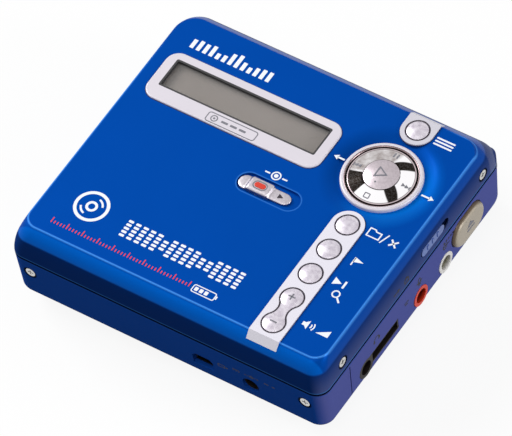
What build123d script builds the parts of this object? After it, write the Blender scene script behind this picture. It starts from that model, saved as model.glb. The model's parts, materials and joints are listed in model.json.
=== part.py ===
from build123d import *
import os
from math import asin, cos, radians, sin, tan

# A closed pocket recorder for small discs in square cartridges. All sizes are in millimetres.
# +X runs right along the display, +Y runs to the hinge at the back, +Z is up. The origin is the
# middle of the base's flat underside.

# ---------------------------------------------------------------- driving dimensions
# what the machine takes: a square cartridge and one round cell
cartridge_width = 72.0
cartridge_depth = 68.0
cartridge_thickness = 5.0
cell_radius = 7.25
cell_length = 50.5

# the body round them
side_margin = 4.5
front_margin = 2.0
rear_margin = 4.4
front_corner_radius, rear_corner_radius = 3.4, 5.0
wall = 1.2
floor = 1.0
sheet = 0.4

# clearances
parting_gap = 0.4
gap = 0.3
run_clearance = 0.05
seat_clearance = 0.1

# the lid's shoulders: how far the ridge lies inside each wall, and how sharply it rounds over
front_shoulder, front_sharpness = 2.55, 6
back_shoulder, back_sharpness = 6.4, 1.4
left_shoulder, left_sharpness = 3.3, 1.4
right_shoulder, right_sharpness = 0.85, 4
lid_sections = 7

# the base: its walls lean in a little, and low down they turn in to a smaller flat underside, except
# on the left, where the battery door needs their whole height
base_draft = 2.0
belly_height, belly_sharpness = 5.8, 1.5
front_belly, back_belly, left_belly, right_belly = 4.9, 4.9, 0.6, 4.9
belly_sections = 7
lip_thickness = 0.7
lip_height = 1.0
lip_root = 1.5

# the hinge at the back, along X
hinge_radius = 1.8
hinge_pin_radius = 0.6
hinge_ear_width = 3.0
hinge_ear_inset = 5.4
holder_eye_width = 0.8
holder_eye_radius = 1.5

# the display
display_inset, display_from_back = 29.15, 22.5
window_width, window_depth = 40.5, 8.0
bezel_side, bezel_rear, bezel_front = 2.35, 1.95, 3.65
bezel_radius = 3.2
bezel_height = 0.4
window_seat = 1.0
window_thickness = 0.8
lcd_thickness = 1.8

# the keys
key_inset = 15.15
key_radius = 2.45
key_pitch = 7.35
key_gap = 0.15
key_travel = 0.4
key_rise = 0.85
key_flange = 0.6
key_dome = 0.5
strip_width = 7.6
strip_height = 0.35
strip_fold = 2.1
menu_from_back = 9.9
menu_plate_radius = 3.9
rocker_neck = 2.2

# the dial
dial_inset, dial_from_back = 15.7, 24.1
dish_radius = 13.6
dish_depth = 0.65
ring_radius = 9.2
ring_width = 1.25
ring_height = 1.0
disc_radius = 7.7
disc_rim_height = 0.15
disc_rise = 0.75
enter_radius = 4.0
enter_rise = 0.75
enter_dome = 0.65
enter_travel = 0.4
dial_tilt_gap = 0.25
stem_radius = 1.3
plunger_radius = 5.6

# the recording slider in the lid's top
rec_from_dial = 19.4
rec_from_display = 16.7
rec_recess_width = 5.2
rec_recess_depth = 0.7
rec_slider_length = 13.2
rec_travel = 2.0
slider_end_gap = 0.2

# the hold slider in the lid's right wall
hold_from_back = 28.5
hold_rise = 3.5
hold_slot_height = 2.7
hold_slot_depth = 0.7
hold_slider_length = 9.0
hold_travel = 1.8

# the screws
lid_screw_inset, lid_screw_rise = 8.8, 2.9
base_screw_inset, base_screw_drop = 5.0, 4.3
screw_head_radius = 1.2
screw_head_height = 0.65
screw_shank_radius = 0.55
counterbore_radius = 1.5
counterbore_depth = 0.75
boss_radius = 1.6

# sockets along the right wall and the front wall
jack_height = 8.2
jack_bore_radius = 1.8
jack_ring_radius = 2.65
jack_depth = 13.0
jack_body_half = 3.9
jack_body_rise = 3.1
jack_pitch = 10.2
line_in_from_back = 25.5
headphone_from_front = 16.8
remote_slot_offset, remote_slot_length = 2.6, 10.0
remote_slot_height = 2.6
remote_slot_z = 8.9
usb_inset, usb_z = 31.4, 9.7
usb_width, usb_height = 5.0, 3.4
dc_from_usb, dc_z = 12.2, 9.2
dc_bore_radius = 1.75
dc_pin_radius = 0.45
socket_depth = 8.5

# the open button in the right wall, and the latch plate that it carries
open_from_back, open_z = 16.6, 11.8
open_length, open_height = 12.0, 7.8
open_protrusion = 1.6
latch_from_front = 7.2
latch_bite = -0.2
latch_inset = 5.3
latch_thickness, latch_height = 0.6, 2.6
tab_inset = 3.5
toe_reach, toe_height = 0.6, 0.6
hook_half = 1.5

# the battery bay: one cylindrical cell lying along X behind the drive
cell_clearance = 0.2
tube_wall = 0.5
tube_to_wall = 1.6
door_barrel_radius = 0.75
door_pin_radius = 0.35
door_edge_gap = 0.25
ear_bottom, ear_top = 8.0, 10.0
pin_low, pin_high = 4.0, 15.0

# the drive: spindle, sled and its rods, main board
chassis_underside = 14.0
chassis_thickness = 0.6
motor_radius = 10.2
motor_height = 3.6
shaft_radius = 0.75
turntable_radius = 6.2
hub_radius = 2.6
hub_rise = 1.0
lens_radius = 14.5
sled_travel = 16.0
rod_radius = 0.75
rod_height = 12.8
rod_spacing = 19.6
lead_screw_offset = 13.2
lead_screw_radius = 0.8
lead_screw_neck = 0.5
board_underside = 4.3
board_thickness = 0.8
post_radius = 1.6
damper_height = 1.4

# ---------------------------------------------------------------- places that follow from them
body_width = cartridge_width + 2 * side_margin
body_depth = cartridge_depth + front_margin + rear_margin
half_width, half_depth = body_width / 2, body_depth / 2

# heights, from the floor up through the cell, the cartridge, the frame and the boards to the lid's top
cell_bay_radius = cell_radius + cell_clearance
tube_outer = cell_bay_radius + tube_wall
tube_z = floor + tube_outer + 0.02
rim_height = floor + 2 * tube_outer + 0.1
lid_bottom = rim_height + parting_gap
cartridge_low = lid_bottom + 0.5
cartridge_high = cartridge_low + cartridge_thickness
holder_top = cartridge_high + gap
frame_low = holder_top + 2 * sheet
board_low = frame_low + sheet
key_board_top = board_low + 0.6
dome_top = key_board_top + 0.15
ceiling = key_board_top + 1.2
body_height = ceiling + wall

# along the hinge and the right wall
hinge_y = half_depth - hinge_radius
hinge_z = (rim_height + lid_bottom) / 2
hinge_ear_x = half_width - hinge_ear_inset
holder_eye_x = hinge_ear_x - 4.5
wall_x = half_width - wall
lean = tan(radians(base_draft))
latch_from = half_width - latch_inset
latch_to = latch_from + latch_thickness
latch_low = rim_height - 4.6
latch_high = latch_low + latch_height
latch_y = -half_depth + latch_from_front
latch_guides = (latch_y + 4.0, half_depth - 8.0)
lip_reach = half_depth - 7.2

# on the lid
display_x, display_y = -half_width + display_inset, half_depth - display_from_back
key_x = half_width - key_inset
dial_x, dial_y = half_width - dial_inset, half_depth - dial_from_back
key_rows = [dial_y - 2 * key_pitch - row * key_pitch for row in range(5)]
rocker_y = (key_rows[3] + key_rows[4]) / 2
menu_x, menu_y = key_x - 0.25, half_depth - menu_from_back
rec_x, rec_y = dial_x - rec_from_dial, display_y - rec_from_display
rec_recess_length = rec_slider_length + rec_travel + 2 * slider_end_gap
hold_y, hold_z = half_depth - hold_from_back, lid_bottom + hold_rise
hold_slot_length = hold_slider_length + hold_travel + 2 * slider_end_gap
lid_screw_y, lid_screw_z = half_depth - lid_screw_inset, lid_bottom + lid_screw_rise
lid_screw_way = lid_screw_rise / (body_height - lid_bottom)
lid_screw_faces = {-1: half_width - left_shoulder * lid_screw_way**left_sharpness - counterbore_depth,
                   1: half_width - right_shoulder * lid_screw_way**right_sharpness - counterbore_depth}

# on the base
base_screw_x, base_screw_z = half_width - base_screw_inset, rim_height - base_screw_drop
line_in_y = half_depth - line_in_from_back
mic_y = line_in_y - jack_pitch
headphone_y = -half_depth + headphone_from_front
remote_slot_from = headphone_y + remote_slot_offset
remote_slot_to = remote_slot_from + remote_slot_length
usb_x = half_width - usb_inset
dc_x = usb_x + dc_from_usb
open_y = half_depth - open_from_back

# the cell, its door and the drive
battery_y = half_depth - 2 * wall - tube_outer - 2.55
door_front, door_rear = battery_y - tube_outer + gap - 0.05, battery_y + tube_outer - 0.25
door_low, door_high = floor + 0.45, rim_height - 0.75
cartridge_rear = half_depth - rear_margin
spindle_y = cartridge_rear - cartridge_depth / 2 + 0.5
lens_x = -lens_radius
lead_screw_y = spindle_y - lead_screw_offset
post_front, post_rear = -half_depth + 7.2, battery_y - tube_outer - 3.35
posts = [(-half_width + 7.5, post_front), (half_width - 9.5, post_front),
         (-half_width + 7.5, post_rear), (half_width - 16.5, post_rear)]

os.makedirs("parts", exist_ok=True)


def block(x, y, z, mode=Mode.ADD):
    """A block from its low and high limits along each axis."""
    with Locations(((x[0] + x[1]) / 2, (y[0] + y[1]) / 2, (z[0] + z[1]) / 2)):
        Box(x[1] - x[0], y[1] - y[0], z[1] - z[0], mode=mode)


def rod(start, direction, radius, length, mode=Mode.ADD):
    """A round rod or hole from its start point along a direction."""
    with BuildSketch(Plane(origin=start, z_dir=direction)) as circle:
        Circle(radius)
    extrude(circle.sketch, amount=length, mode=mode)


def disc(x, y, low, high, radius, mode=Mode.ADD):
    """An upright round disc or hole between two heights."""
    rod((x, y, low), (0, 0, 1), radius, high - low, mode)


def slot_prism(x, y, low, high, length, width, rotation=0, mode=Mode.ADD):
    """An upright prism with two round ends."""
    with BuildSketch(Plane.XY.offset(low)) as outline:
        with Locations((x, y)):
            SlotOverall(length, width, rotation=rotation)
    extrude(outline.sketch, amount=high - low, mode=mode)


def rounded_block(x, y, low, high, width, depth, radius, mode=Mode.ADD):
    """An upright block with rounded vertical edges."""
    with BuildSketch(Plane.XY.offset(low)) as outline:
        with Locations((x, y)):
            RectangleRounded(width, depth, radius)
    extrude(outline.sketch, amount=high - low, mode=mode)


def body_outline(height, insets, thickness=0.0):
    """The body's outline at a height: each wall comes in by its own inset, and by a wall's thickness.
    The corners are tighter at the front than at the back."""
    front, back, left, right = [inset + thickness for inset in insets]
    with BuildSketch(Plane.XY.offset(height)) as outline:
        with Locations(((left - right) / 2, (front - back) / 2)):
            Rectangle(body_width - left - right, body_depth - front - back)
        fillet(outline.vertices().group_by(Axis.Y)[0], front_corner_radius - thickness)
        fillet(outline.vertices().group_by(Axis.Y)[-1], rear_corner_radius - thickness)
    return outline.sketch


def shoulder(amount, sharpness, height):
    """How far a lid wall has come in at a height: a power of the way up the lid."""
    rise = max(0.0, (height - lid_bottom) / (body_height - lid_bottom))
    return amount * rise**sharpness


def lid_section(height, thickness=0.0):
    """The lid's outline at a height, or its inner outline inside a wall of some thickness."""
    insets = (shoulder(front_shoulder, front_sharpness, height),
              shoulder(back_shoulder, back_sharpness, height),
              shoulder(left_shoulder, left_sharpness, height),
              shoulder(right_shoulder, right_sharpness, height))
    return body_outline(height, insets, thickness)


def heights_between(low, high, count):
    """Evenly spaced heights, both ends among them."""
    return [low + (high - low) * step / (count - 1) for step in range(count)]


def lid_form(low, high, thickness=0.0):
    """A solid with the lid's rounded form between two heights."""
    loft([lid_section(height, thickness) for height in heights_between(low, high, lid_sections)])


def base_section(height, thickness=0.0):
    """The base's outline at a height: its walls lean in, and below the belly's height they turn in by
    a power of the way down."""
    drop = max(0.0, 1 - height / belly_height)
    insets = [(rim_height - height) * lean + amount * drop**belly_sharpness
              for amount in (front_belly, back_belly, left_belly, right_belly)]
    return body_outline(height, insets, thickness)


def base_form(low, thickness=0.0):
    """A solid with the base's form from a height up to its rim."""
    loft([base_section(height, thickness) for height in heights_between(low, belly_height, belly_sections)])
    loft([base_section(height, thickness) for height in (belly_height, rim_height)], ruled=True)


def hinge_rod(radius, low_x, high_x, mode=Mode.ADD):
    """A rod or hole along the hinge axis."""
    rod((low_x, hinge_y, hinge_z), (1, 0, 0), radius, high_x - low_x, mode)


def rocker_outline(grow=0.0):
    """The rocker seen from above: two round lobes joined by a neck of two hollow arcs, grown by a margin."""
    half_pitch = key_pitch / 2
    neck = rocker_neck / 2
    # the hollow arc touches both lobes: its radius follows from the lobes, their distance and the neck
    hollow = (half_pitch**2 + neck**2 - key_radius**2) / (2 * (key_radius - neck))
    centre_x = hollow + neck
    toward = key_radius / (key_radius + hollow)
    touch_x, touch_y = centre_x * toward, half_pitch * (1 - toward)
    stretch = (key_radius + grow) / key_radius
    touch_x, touch_y = touch_x * stretch, half_pitch - (half_pitch - touch_y) * stretch
    with BuildSketch() as outline:
        with BuildLine():
            ThreePointArc((touch_x, touch_y), (0, half_pitch + key_radius + grow), (-touch_x, touch_y))
            ThreePointArc((-touch_x, touch_y), (-neck - grow, 0), (-touch_x, -touch_y))
            ThreePointArc((-touch_x, -touch_y), (0, -half_pitch - key_radius - grow), (touch_x, -touch_y))
            ThreePointArc((touch_x, -touch_y), (neck + grow, 0), (touch_x, touch_y))
        make_face()
    return outline.sketch


def rocker_prism(low, high, grow=0.0, mode=Mode.ADD):
    """The rocker's outline carried up between two heights, at its place in the strip."""
    with BuildSketch(Plane.XY.offset(low)) as outline:
        with Locations((key_x, rocker_y)):
            add(rocker_outline(grow))
    extrude(outline.sketch, amount=high - low, mode=mode)


def dome(x, y, low, rim, crown, radius, mode=Mode.ADD):
    """An upright round post with a domed top: a spherical cap from its rim to its crown."""
    with BuildSketch(Plane(origin=(x, y, 0), x_dir=(1, 0, 0), z_dir=(0, -1, 0))) as profile:
        with BuildLine():
            ball = (radius**2 + (crown - rim) ** 2) / (2 * (crown - rim))
            half_angle = asin(radius / ball) / 2
            Line((0, low), (radius, low))
            Line((radius, low), (radius, rim))
            middle = (ball * sin(half_angle), crown - ball * (1 - cos(half_angle)))
            ThreePointArc((radius, rim), middle, (0, crown))
            Line((0, crown), (0, low))
        make_face()
    revolve(profile.sketch, axis=Axis((x, y, 0), (0, 0, 1)), mode=mode)


def finish(piece, name):
    """Label a piece and write its file."""
    piece.part.label = name
    export_step(piece.part, f"parts/{name}.step")


# ---------------------------------------------------------------- forms that several pieces share
with BuildPart() as body_prism:
    extrude(body_outline(0, (0, 0, 0, 0)), amount=body_height)

with BuildPart() as lid_block:
    lid_form(lid_bottom, body_height)

with BuildPart() as lid_hollow:
    lid_form(lid_bottom, ceiling, wall)

with BuildPart() as base_block:
    base_form(0)

with BuildPart() as base_hollow:
    base_form(floor, wall)

# the space inside the lid, less a clearance: for the frame that is screwed to it and for the disc holder
with BuildPart() as frame_space:
    lid_form(lid_bottom, ceiling, wall + seat_clearance)

with BuildPart() as holder_space:
    lid_form(lid_bottom, ceiling, wall + gap)

# ---------------------------------------------------------------- lid
bezel_width, bezel_depth = window_width + 2 * bezel_side, window_depth + bezel_rear + bezel_front
bezel_y = display_y + (bezel_rear - bezel_front) / 2
seat_width, seat_depth = window_width + 2 * window_seat, window_depth + 2 * window_seat
window_low = ceiling
window_high = window_low + window_thickness
dish_floor = body_height - dish_depth
ridge_front = -half_depth + front_shoulder
ridge_back = half_depth - back_shoulder
hold_out = half_width - hold_slot_depth

# the barrel along the hinge, trimmed to the body's outline
with BuildPart() as lid_barrel:
    hinge_rod(hinge_radius, -half_width, half_width)
    add(body_prism.part, mode=Mode.INTERSECT)

with BuildPart() as lid_shell:
    add(lid_block.part)
    add(lid_hollow.part, mode=Mode.SUBTRACT)
    add(lid_barrel.part)
    for side in (-1, 1):
        for centre, width in ((hinge_ear_x, hinge_ear_width), (holder_eye_x, holder_eye_width)):
            reach = width / 2 + gap
            span = sorted((side * centre - reach, side * centre + reach))
            hinge_rod(hinge_radius + gap, span[0], span[1], Mode.SUBTRACT)
        span = sorted((side * (holder_eye_x - 2.2), side * (hinge_ear_x + 3.0)))
        hinge_rod(hinge_pin_radius, span[0], span[1], Mode.SUBTRACT)
    # the dish round the dial, then the hole below its ring
    with BuildSketch(Plane(origin=(dial_x, dial_y, 0), x_dir=(1, 0, 0), z_dir=(0, -1, 0))):
        with BuildLine():
            middle = (ring_radius + dish_radius) / 2
            bend = dish_radius - ring_radius
            Line((0, dish_floor), (ring_radius, dish_floor))
            dip = TangentArc((ring_radius, dish_floor), (middle, dish_floor + dish_depth / 2), tangent=(1, 0))
            TangentArc(dip @ 1, (dish_radius, body_height), tangent=dip % 1)
            Line((dish_radius, body_height), (dish_radius, body_height + bend))
            Line((dish_radius, body_height + bend), (0, body_height + bend))
            Line((0, body_height + bend), (0, dish_floor))
        make_face()
    revolve(axis=Axis((dial_x, dial_y, 0), (0, 0, 1)), mode=Mode.SUBTRACT)
    disc(dial_x, dial_y, ceiling - 1, body_height, ring_radius - ring_width + 0.3, Mode.SUBTRACT)
    # the display's cut-out, the key holes and the rocker's hole
    rounded_block(display_x, display_y, ceiling - 1, body_height + 1, seat_width, seat_depth, 0.6,
                  Mode.SUBTRACT)
    for key_y in key_rows[:3]:
        disc(key_x, key_y, ceiling - 1, body_height + 1, key_radius + key_gap, Mode.SUBTRACT)
    disc(menu_x, menu_y, ceiling - 2, body_height + 1, key_radius + key_gap, Mode.SUBTRACT)
    disc(menu_x, menu_y, ceiling - 2, ceiling, key_radius + key_flange + key_gap, Mode.SUBTRACT)
    slot_prism(key_x, rocker_y, ceiling - 1, body_height + 1, key_pitch + 2 * (key_radius + key_gap),
               2 * (key_radius + key_gap), 90, Mode.SUBTRACT)
    # the recording slider's recess and the slot for its post
    slot_prism(rec_x, rec_y, body_height - rec_recess_depth, body_height + 1, rec_recess_length,
               rec_recess_width, 0, Mode.SUBTRACT)
    slot_prism(rec_x, rec_y, ceiling - 1, body_height, 2 * rec_travel + 2.6, 2.2, 0, Mode.SUBTRACT)
    # the hold slider's slot
    with BuildSketch(Plane(origin=(hold_out, hold_y, hold_z), x_dir=(0, 1, 0), z_dir=(1, 0, 0))):
        SlotOverall(hold_slot_length, hold_slot_height)
    extrude(amount=2, mode=Mode.SUBTRACT)
    block((half_width - 3, hold_out), (hold_y - 2.6, hold_y + 2.6), (hold_z - 0.6, hold_z + 0.6),
          Mode.SUBTRACT)
    # the side screws
    for side in (-1, 1):
        for screw_y in (-lid_screw_y, lid_screw_y):
            rod((side * lid_screw_faces[side], screw_y, lid_screw_z), (side, 0, 0),
                counterbore_radius, 2, Mode.SUBTRACT)
            rod((side * (half_width - 3), screw_y, lid_screw_z), (side, 0, 0), screw_shank_radius + 0.1, 3,
                Mode.SUBTRACT)
finish(lid_shell, "lid_shell")

with BuildPart() as display_bezel:
    rounded_block(display_x, bezel_y, body_height, body_height + bezel_height, bezel_width, bezel_depth,
                  bezel_radius)
    fillet(display_bezel.faces().sort_by(Axis.Z)[-1].edges(), 0.3)
    rounded_block(display_x, display_y, body_height - 1, body_height + 1, window_width, window_depth, 0.4,
                  Mode.SUBTRACT)
finish(display_bezel, "display_bezel")

with BuildPart() as display_window:
    rounded_block(display_x, display_y, window_low, window_high, seat_width - 0.1, seat_depth - 0.1, 0.55)
finish(display_window, "display_window")

with BuildPart() as lcd_panel:
    rounded_block(display_x, display_y, window_low - lcd_thickness, window_low, seat_width - 0.4,
                  seat_depth + 1.2, 0.3)
finish(lcd_panel, "lcd_panel")

# The strip lies on the flat top and folds over the front ridge, down the shoulder.
strip_rear = key_rows[0] + strip_width / 2
fold_down = strip_fold * 0.77
fold_out = strip_fold * 0.64
with BuildPart() as button_strip:
    with BuildSketch(Plane.XY.offset(body_height)):
        with BuildLine():
            Line((key_x - strip_width / 2, key_rows[0]), (key_x - strip_width / 2, ridge_front))
            Line((key_x - strip_width / 2, ridge_front), (key_x + strip_width / 2, ridge_front))
            Line((key_x + strip_width / 2, ridge_front), (key_x + strip_width / 2, key_rows[0]))
            ThreePointArc((key_x + strip_width / 2, key_rows[0]), (key_x, strip_rear),
                          (key_x - strip_width / 2, key_rows[0]))
        make_face()
    extrude(amount=strip_height)
    with BuildSketch(Plane(origin=(key_x - strip_width / 2, 0, 0), x_dir=(0, 1, 0), z_dir=(1, 0, 0))):
        with BuildLine():
            Polyline((ridge_front + 0.5, body_height - 0.35), (ridge_front + 0.5, body_height + strip_height),
                     (ridge_front - 0.15, body_height + strip_height),
                     (ridge_front - fold_out - 0.3, body_height - fold_down + 0.2),
                     (ridge_front - fold_out, body_height - fold_down - 0.1), close=True)
        make_face()
    extrude(amount=strip_width)
    add(lid_block.part, mode=Mode.SUBTRACT)
    for key_y in key_rows[:3]:
        disc(key_x, key_y, body_height - 1, body_height + 1, key_radius + key_gap, Mode.SUBTRACT)
    rocker_prism(body_height - 1, body_height + 1, key_gap, Mode.SUBTRACT)
finish(button_strip, "button_strip")


def round_key(name, x, y):
    """A domed round key with a flange that keeps it below the lid's top."""
    crown = body_height + key_rise
    with BuildPart() as key:
        dome(x, y, dome_top + key_travel, crown - key_dome, crown, key_radius)
        disc(x, y, dome_top + key_travel, ceiling - 0.1, key_radius + key_flange)
    finish(key, name)


round_key("group_button", key_x, key_rows[0])
round_key("mark_button", key_x, key_rows[1])
round_key("search_button", key_x, key_rows[2])
round_key("menu_button", menu_x, menu_y)

with BuildPart() as volume_rocker:
    rocker_top = body_height + key_rise
    rocker_prism(dome_top + key_travel, rocker_top - key_dome)
    for key_y in key_rows[3:]:
        dome(key_x, key_y, dome_top + key_travel, rocker_top - key_dome, rocker_top, key_radius)
    disc(key_x, rocker_y, key_board_top + 0.1, body_height - 1, rocker_neck / 2)
finish(volume_rocker, "volume_rocker")

with BuildPart() as menu_plate:
    with BuildSketch(Plane.XY.offset(body_height - 1)):
        with Locations((menu_x, menu_y)):
            Circle(menu_plate_radius)
        with Locations((menu_x, (menu_y + ridge_back + 1.2) / 2)):
            Rectangle(2 * menu_plate_radius, ridge_back + 1.2 - menu_y)
    extrude(amount=1 + strip_height)
    with Locations((0, 0, strip_height)):
        add(lid_block.part, mode=Mode.INTERSECT)
    add(lid_block.part, mode=Mode.SUBTRACT)
    disc(menu_x, menu_y, body_height - 1, body_height + 1, key_radius + key_gap, Mode.SUBTRACT)
finish(menu_plate, "menu_plate")

# ---------------------------------------------------------------- dial
ring_top = dish_floor + ring_height
disc_edge = body_height + disc_rim_height
disc_low = ceiling + 0.3
disc_top = body_height + disc_rise
pivot_low = key_board_top + 0.1
stem_top = disc_low - dial_tilt_gap
pocket_floor = disc_top - 1.0
dial_spots = [(dial_x + plunger_radius * across, dial_y + plunger_radius * along)
              for across, along in ((1, 0), (-1, 0), (0, 1), (0, -1))]

with BuildPart() as dial_ring:
    disc(dial_x, dial_y, dish_floor, ring_top, ring_radius)
    disc(dial_x, dial_y, dish_floor, ring_top, ring_radius - ring_width, Mode.SUBTRACT)
    fillet(dial_ring.faces().sort_by(Axis.Z)[-1].edges(), ring_width * 0.42)
finish(dial_ring, "dial_ring")

with BuildPart() as dial_stem:
    disc(dial_x, dial_y, pivot_low, pivot_low + 0.5, 2.2)
    disc(dial_x, dial_y, pivot_low, stem_top, stem_radius)
finish(dial_stem, "dial_stem")

# The four-way disc is a shallow cone with a pocket for the middle button and a plunger over each switch.
with BuildPart() as dial_disc:
    with BuildSketch(Plane(origin=(dial_x, dial_y, 0), x_dir=(1, 0, 0), z_dir=(0, -1, 0))):
        with BuildLine():
            Polyline((0, disc_low), (disc_radius, disc_low), (disc_radius, disc_edge),
                     (enter_radius + 0.5, disc_top), (0, disc_top), close=True)
        make_face()
    revolve(axis=Axis((dial_x, dial_y, 0), (0, 0, 1)))
    disc(dial_x, dial_y, pocket_floor, disc_top + 1, enter_radius + key_gap, Mode.SUBTRACT)
    for spot_x, spot_y in dial_spots:
        disc(spot_x, spot_y, dome_top + key_travel, disc_low, 0.8)
finish(dial_disc, "dial_disc")

with BuildPart() as enter_button:
    enter_top = disc_top + enter_rise
    dome(dial_x, dial_y, pocket_floor + enter_travel, enter_top - enter_dome, enter_top, enter_radius)
finish(enter_button, "enter_button")

# ---------------------------------------------------------------- sliders
rec_floor = body_height - rec_recess_depth
slider_left = rec_x - rec_recess_length / 2 + slider_end_gap
slider_x = slider_left + rec_slider_length / 2
slider_width = rec_recess_width - 0.7
pad_from, pad_to = slider_left + 2.6, slider_left + 8.4

with BuildPart() as rec_slider:
    slot_prism(slider_x, rec_y, rec_floor + run_clearance, body_height + 0.15, rec_slider_length,
               slider_width)
    block((pad_from, pad_to), (rec_y - slider_width / 2, rec_y + slider_width / 2),
          (body_height, body_height + 0.75))
    fillet(rec_slider.faces().sort_by(Axis.Z)[-1].edges(), 0.25)
    slot_prism((pad_from + pad_to) / 2, rec_y, body_height + 0.35, body_height + 1, 2.9, 1.5, 0,
               Mode.SUBTRACT)
    disc(rec_x - rec_travel / 2, rec_y, key_board_top + 0.9, rec_floor + 0.2, 0.9)
finish(rec_slider, "rec_slider")

with BuildPart() as rec_inset:
    slot_prism((pad_from + pad_to) / 2, rec_y, body_height + 0.35, body_height + 0.85, 2.8, 1.4)
    fillet(rec_inset.faces().sort_by(Axis.Z)[-1].edges(), 0.2)
finish(rec_inset, "rec_inset")

hold_from = hold_y - hold_slot_length / 2 + slider_end_gap
with BuildPart() as hold_slider:
    with BuildSketch(Plane(origin=(hold_out + run_clearance, hold_from + hold_slider_length / 2, hold_z),
                           x_dir=(0, 1, 0), z_dir=(1, 0, 0))):
        SlotOverall(hold_slider_length, hold_slot_height - 0.3)
    extrude(amount=0.75)
    block((half_width - 1.9, hold_out + 0.2), (hold_y - 2.5, hold_y + 0.8), (hold_z - 0.5, hold_z + 0.5))
    block((half_width - 2.1, half_width - 1.6), (hold_y - 3.2, hold_y + 1.4), (hold_z - 1.1, hold_z + 1.1))
    for rib in (-2, 0, 2):
        rib_y = hold_from + hold_slider_length / 2 + rib
        block((half_width, half_width + 0.25), (rib_y - 0.3, rib_y + 0.3), (hold_z - 0.7, hold_z + 0.7))
finish(hold_slider, "hold_slider")

# ---------------------------------------------------------------- inside the lid
tab_from = half_width - tab_inset
tab_to = tab_from + sheet
tab_reach = lid_screw_y + boss_radius + 0.2
toe_low = rim_height - 3.4
with BuildPart() as lid_frame:
    frame_left = -tab_to
    frame_right = half_width - 2.0
    frame_front, frame_back = -half_depth + 2.7, ridge_back + 0.1
    rounded_block((frame_left + frame_right) / 2, (frame_front + frame_back) / 2, frame_low, board_low,
                  frame_right - frame_left, frame_back - frame_front, 3.5)
    # the window for the recording head
    block((lens_x - sled_travel - 6.1, lens_x + 4.6), (spindle_y - 6.9, spindle_y + 6.9),
          (frame_low - 1, board_low + 1), Mode.SUBTRACT)
    for side in (-1, 1):
        tab = sorted((side * tab_from, side * tab_to))
        block(tab, (-tab_reach, tab_reach), (lid_screw_z - boss_radius, board_low))
        for screw_y in (-lid_screw_y, lid_screw_y):
            rod((side * tab_from, screw_y, lid_screw_z), (side, 0, 0), boss_radius, half_width - tab_from)
            rod((side * (tab_from - 1), screw_y, lid_screw_z), (side, 0, 0), screw_shank_radius, 4,
                Mode.SUBTRACT)
    add(frame_space.part, mode=Mode.INTERSECT)
    # the latch hook reaches down past the base's rim
    hook_span = (latch_y - hook_half, latch_y + hook_half)
    block((tab_from, tab_to), hook_span, (toe_low, lid_screw_z - boss_radius))
    block((tab_from - toe_reach, tab_from), hook_span, (toe_low, toe_low + toe_height))
finish(lid_frame, "lid_frame")

with BuildPart() as key_board:
    with BuildSketch(Plane.XY.offset(board_low)):
        with BuildLine():
            Polyline((rec_x - 8.9, frame_front + 1), (frame_right - 0.8, frame_front + 1),
                     (frame_right - 0.8, frame_back - 1), (dial_x - 12.3, frame_back - 1),
                     (dial_x - 12.3, bezel_y - bezel_depth / 2 - 0.7),
                     (rec_x - 8.9, bezel_y - bezel_depth / 2 - 0.7), close=True)
        make_face()
    extrude(amount=key_board_top - board_low)
finish(key_board, "key_board")

with BuildPart() as key_switches:
    for spot_x, spot_y in [(key_x, row) for row in key_rows] + [(menu_x, menu_y)] + dial_spots:
        disc(spot_x, spot_y, key_board_top, dome_top, 1.6)
    block((rec_x - 3.2, rec_x + 3.2), (rec_y - 1.6, rec_y + 1.6), (key_board_top, key_board_top + 0.6))
finish(key_switches, "key_switches")

with BuildPart() as lid_screws:
    for side in (-1, 1):
        for screw_y in (-lid_screw_y, lid_screw_y):
            face_x = lid_screw_faces[side]
            rod((side * face_x, screw_y, lid_screw_z), (side, 0, 0), screw_head_radius, screw_head_height)
            rod((side * (tab_from - 0.2), screw_y, lid_screw_z), (side, 0, 0), screw_shank_radius,
                face_x - tab_from + 0.2)
            with Locations((side * (face_x + screw_head_height), screw_y, lid_screw_z)):
                Box(0.6, 1.5, 0.32, mode=Mode.SUBTRACT)
                Box(0.6, 0.32, 1.5, mode=Mode.SUBTRACT)
finish(lid_screws, "lid_screws")

with BuildPart() as hinge_pins:
    for side in (-1, 1):
        span = sorted((side * (holder_eye_x - 2.1), side * (hinge_ear_x + 2.9)))
        hinge_rod(hinge_pin_radius, span[0], span[1])
finish(hinge_pins, "hinge_pins")

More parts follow.
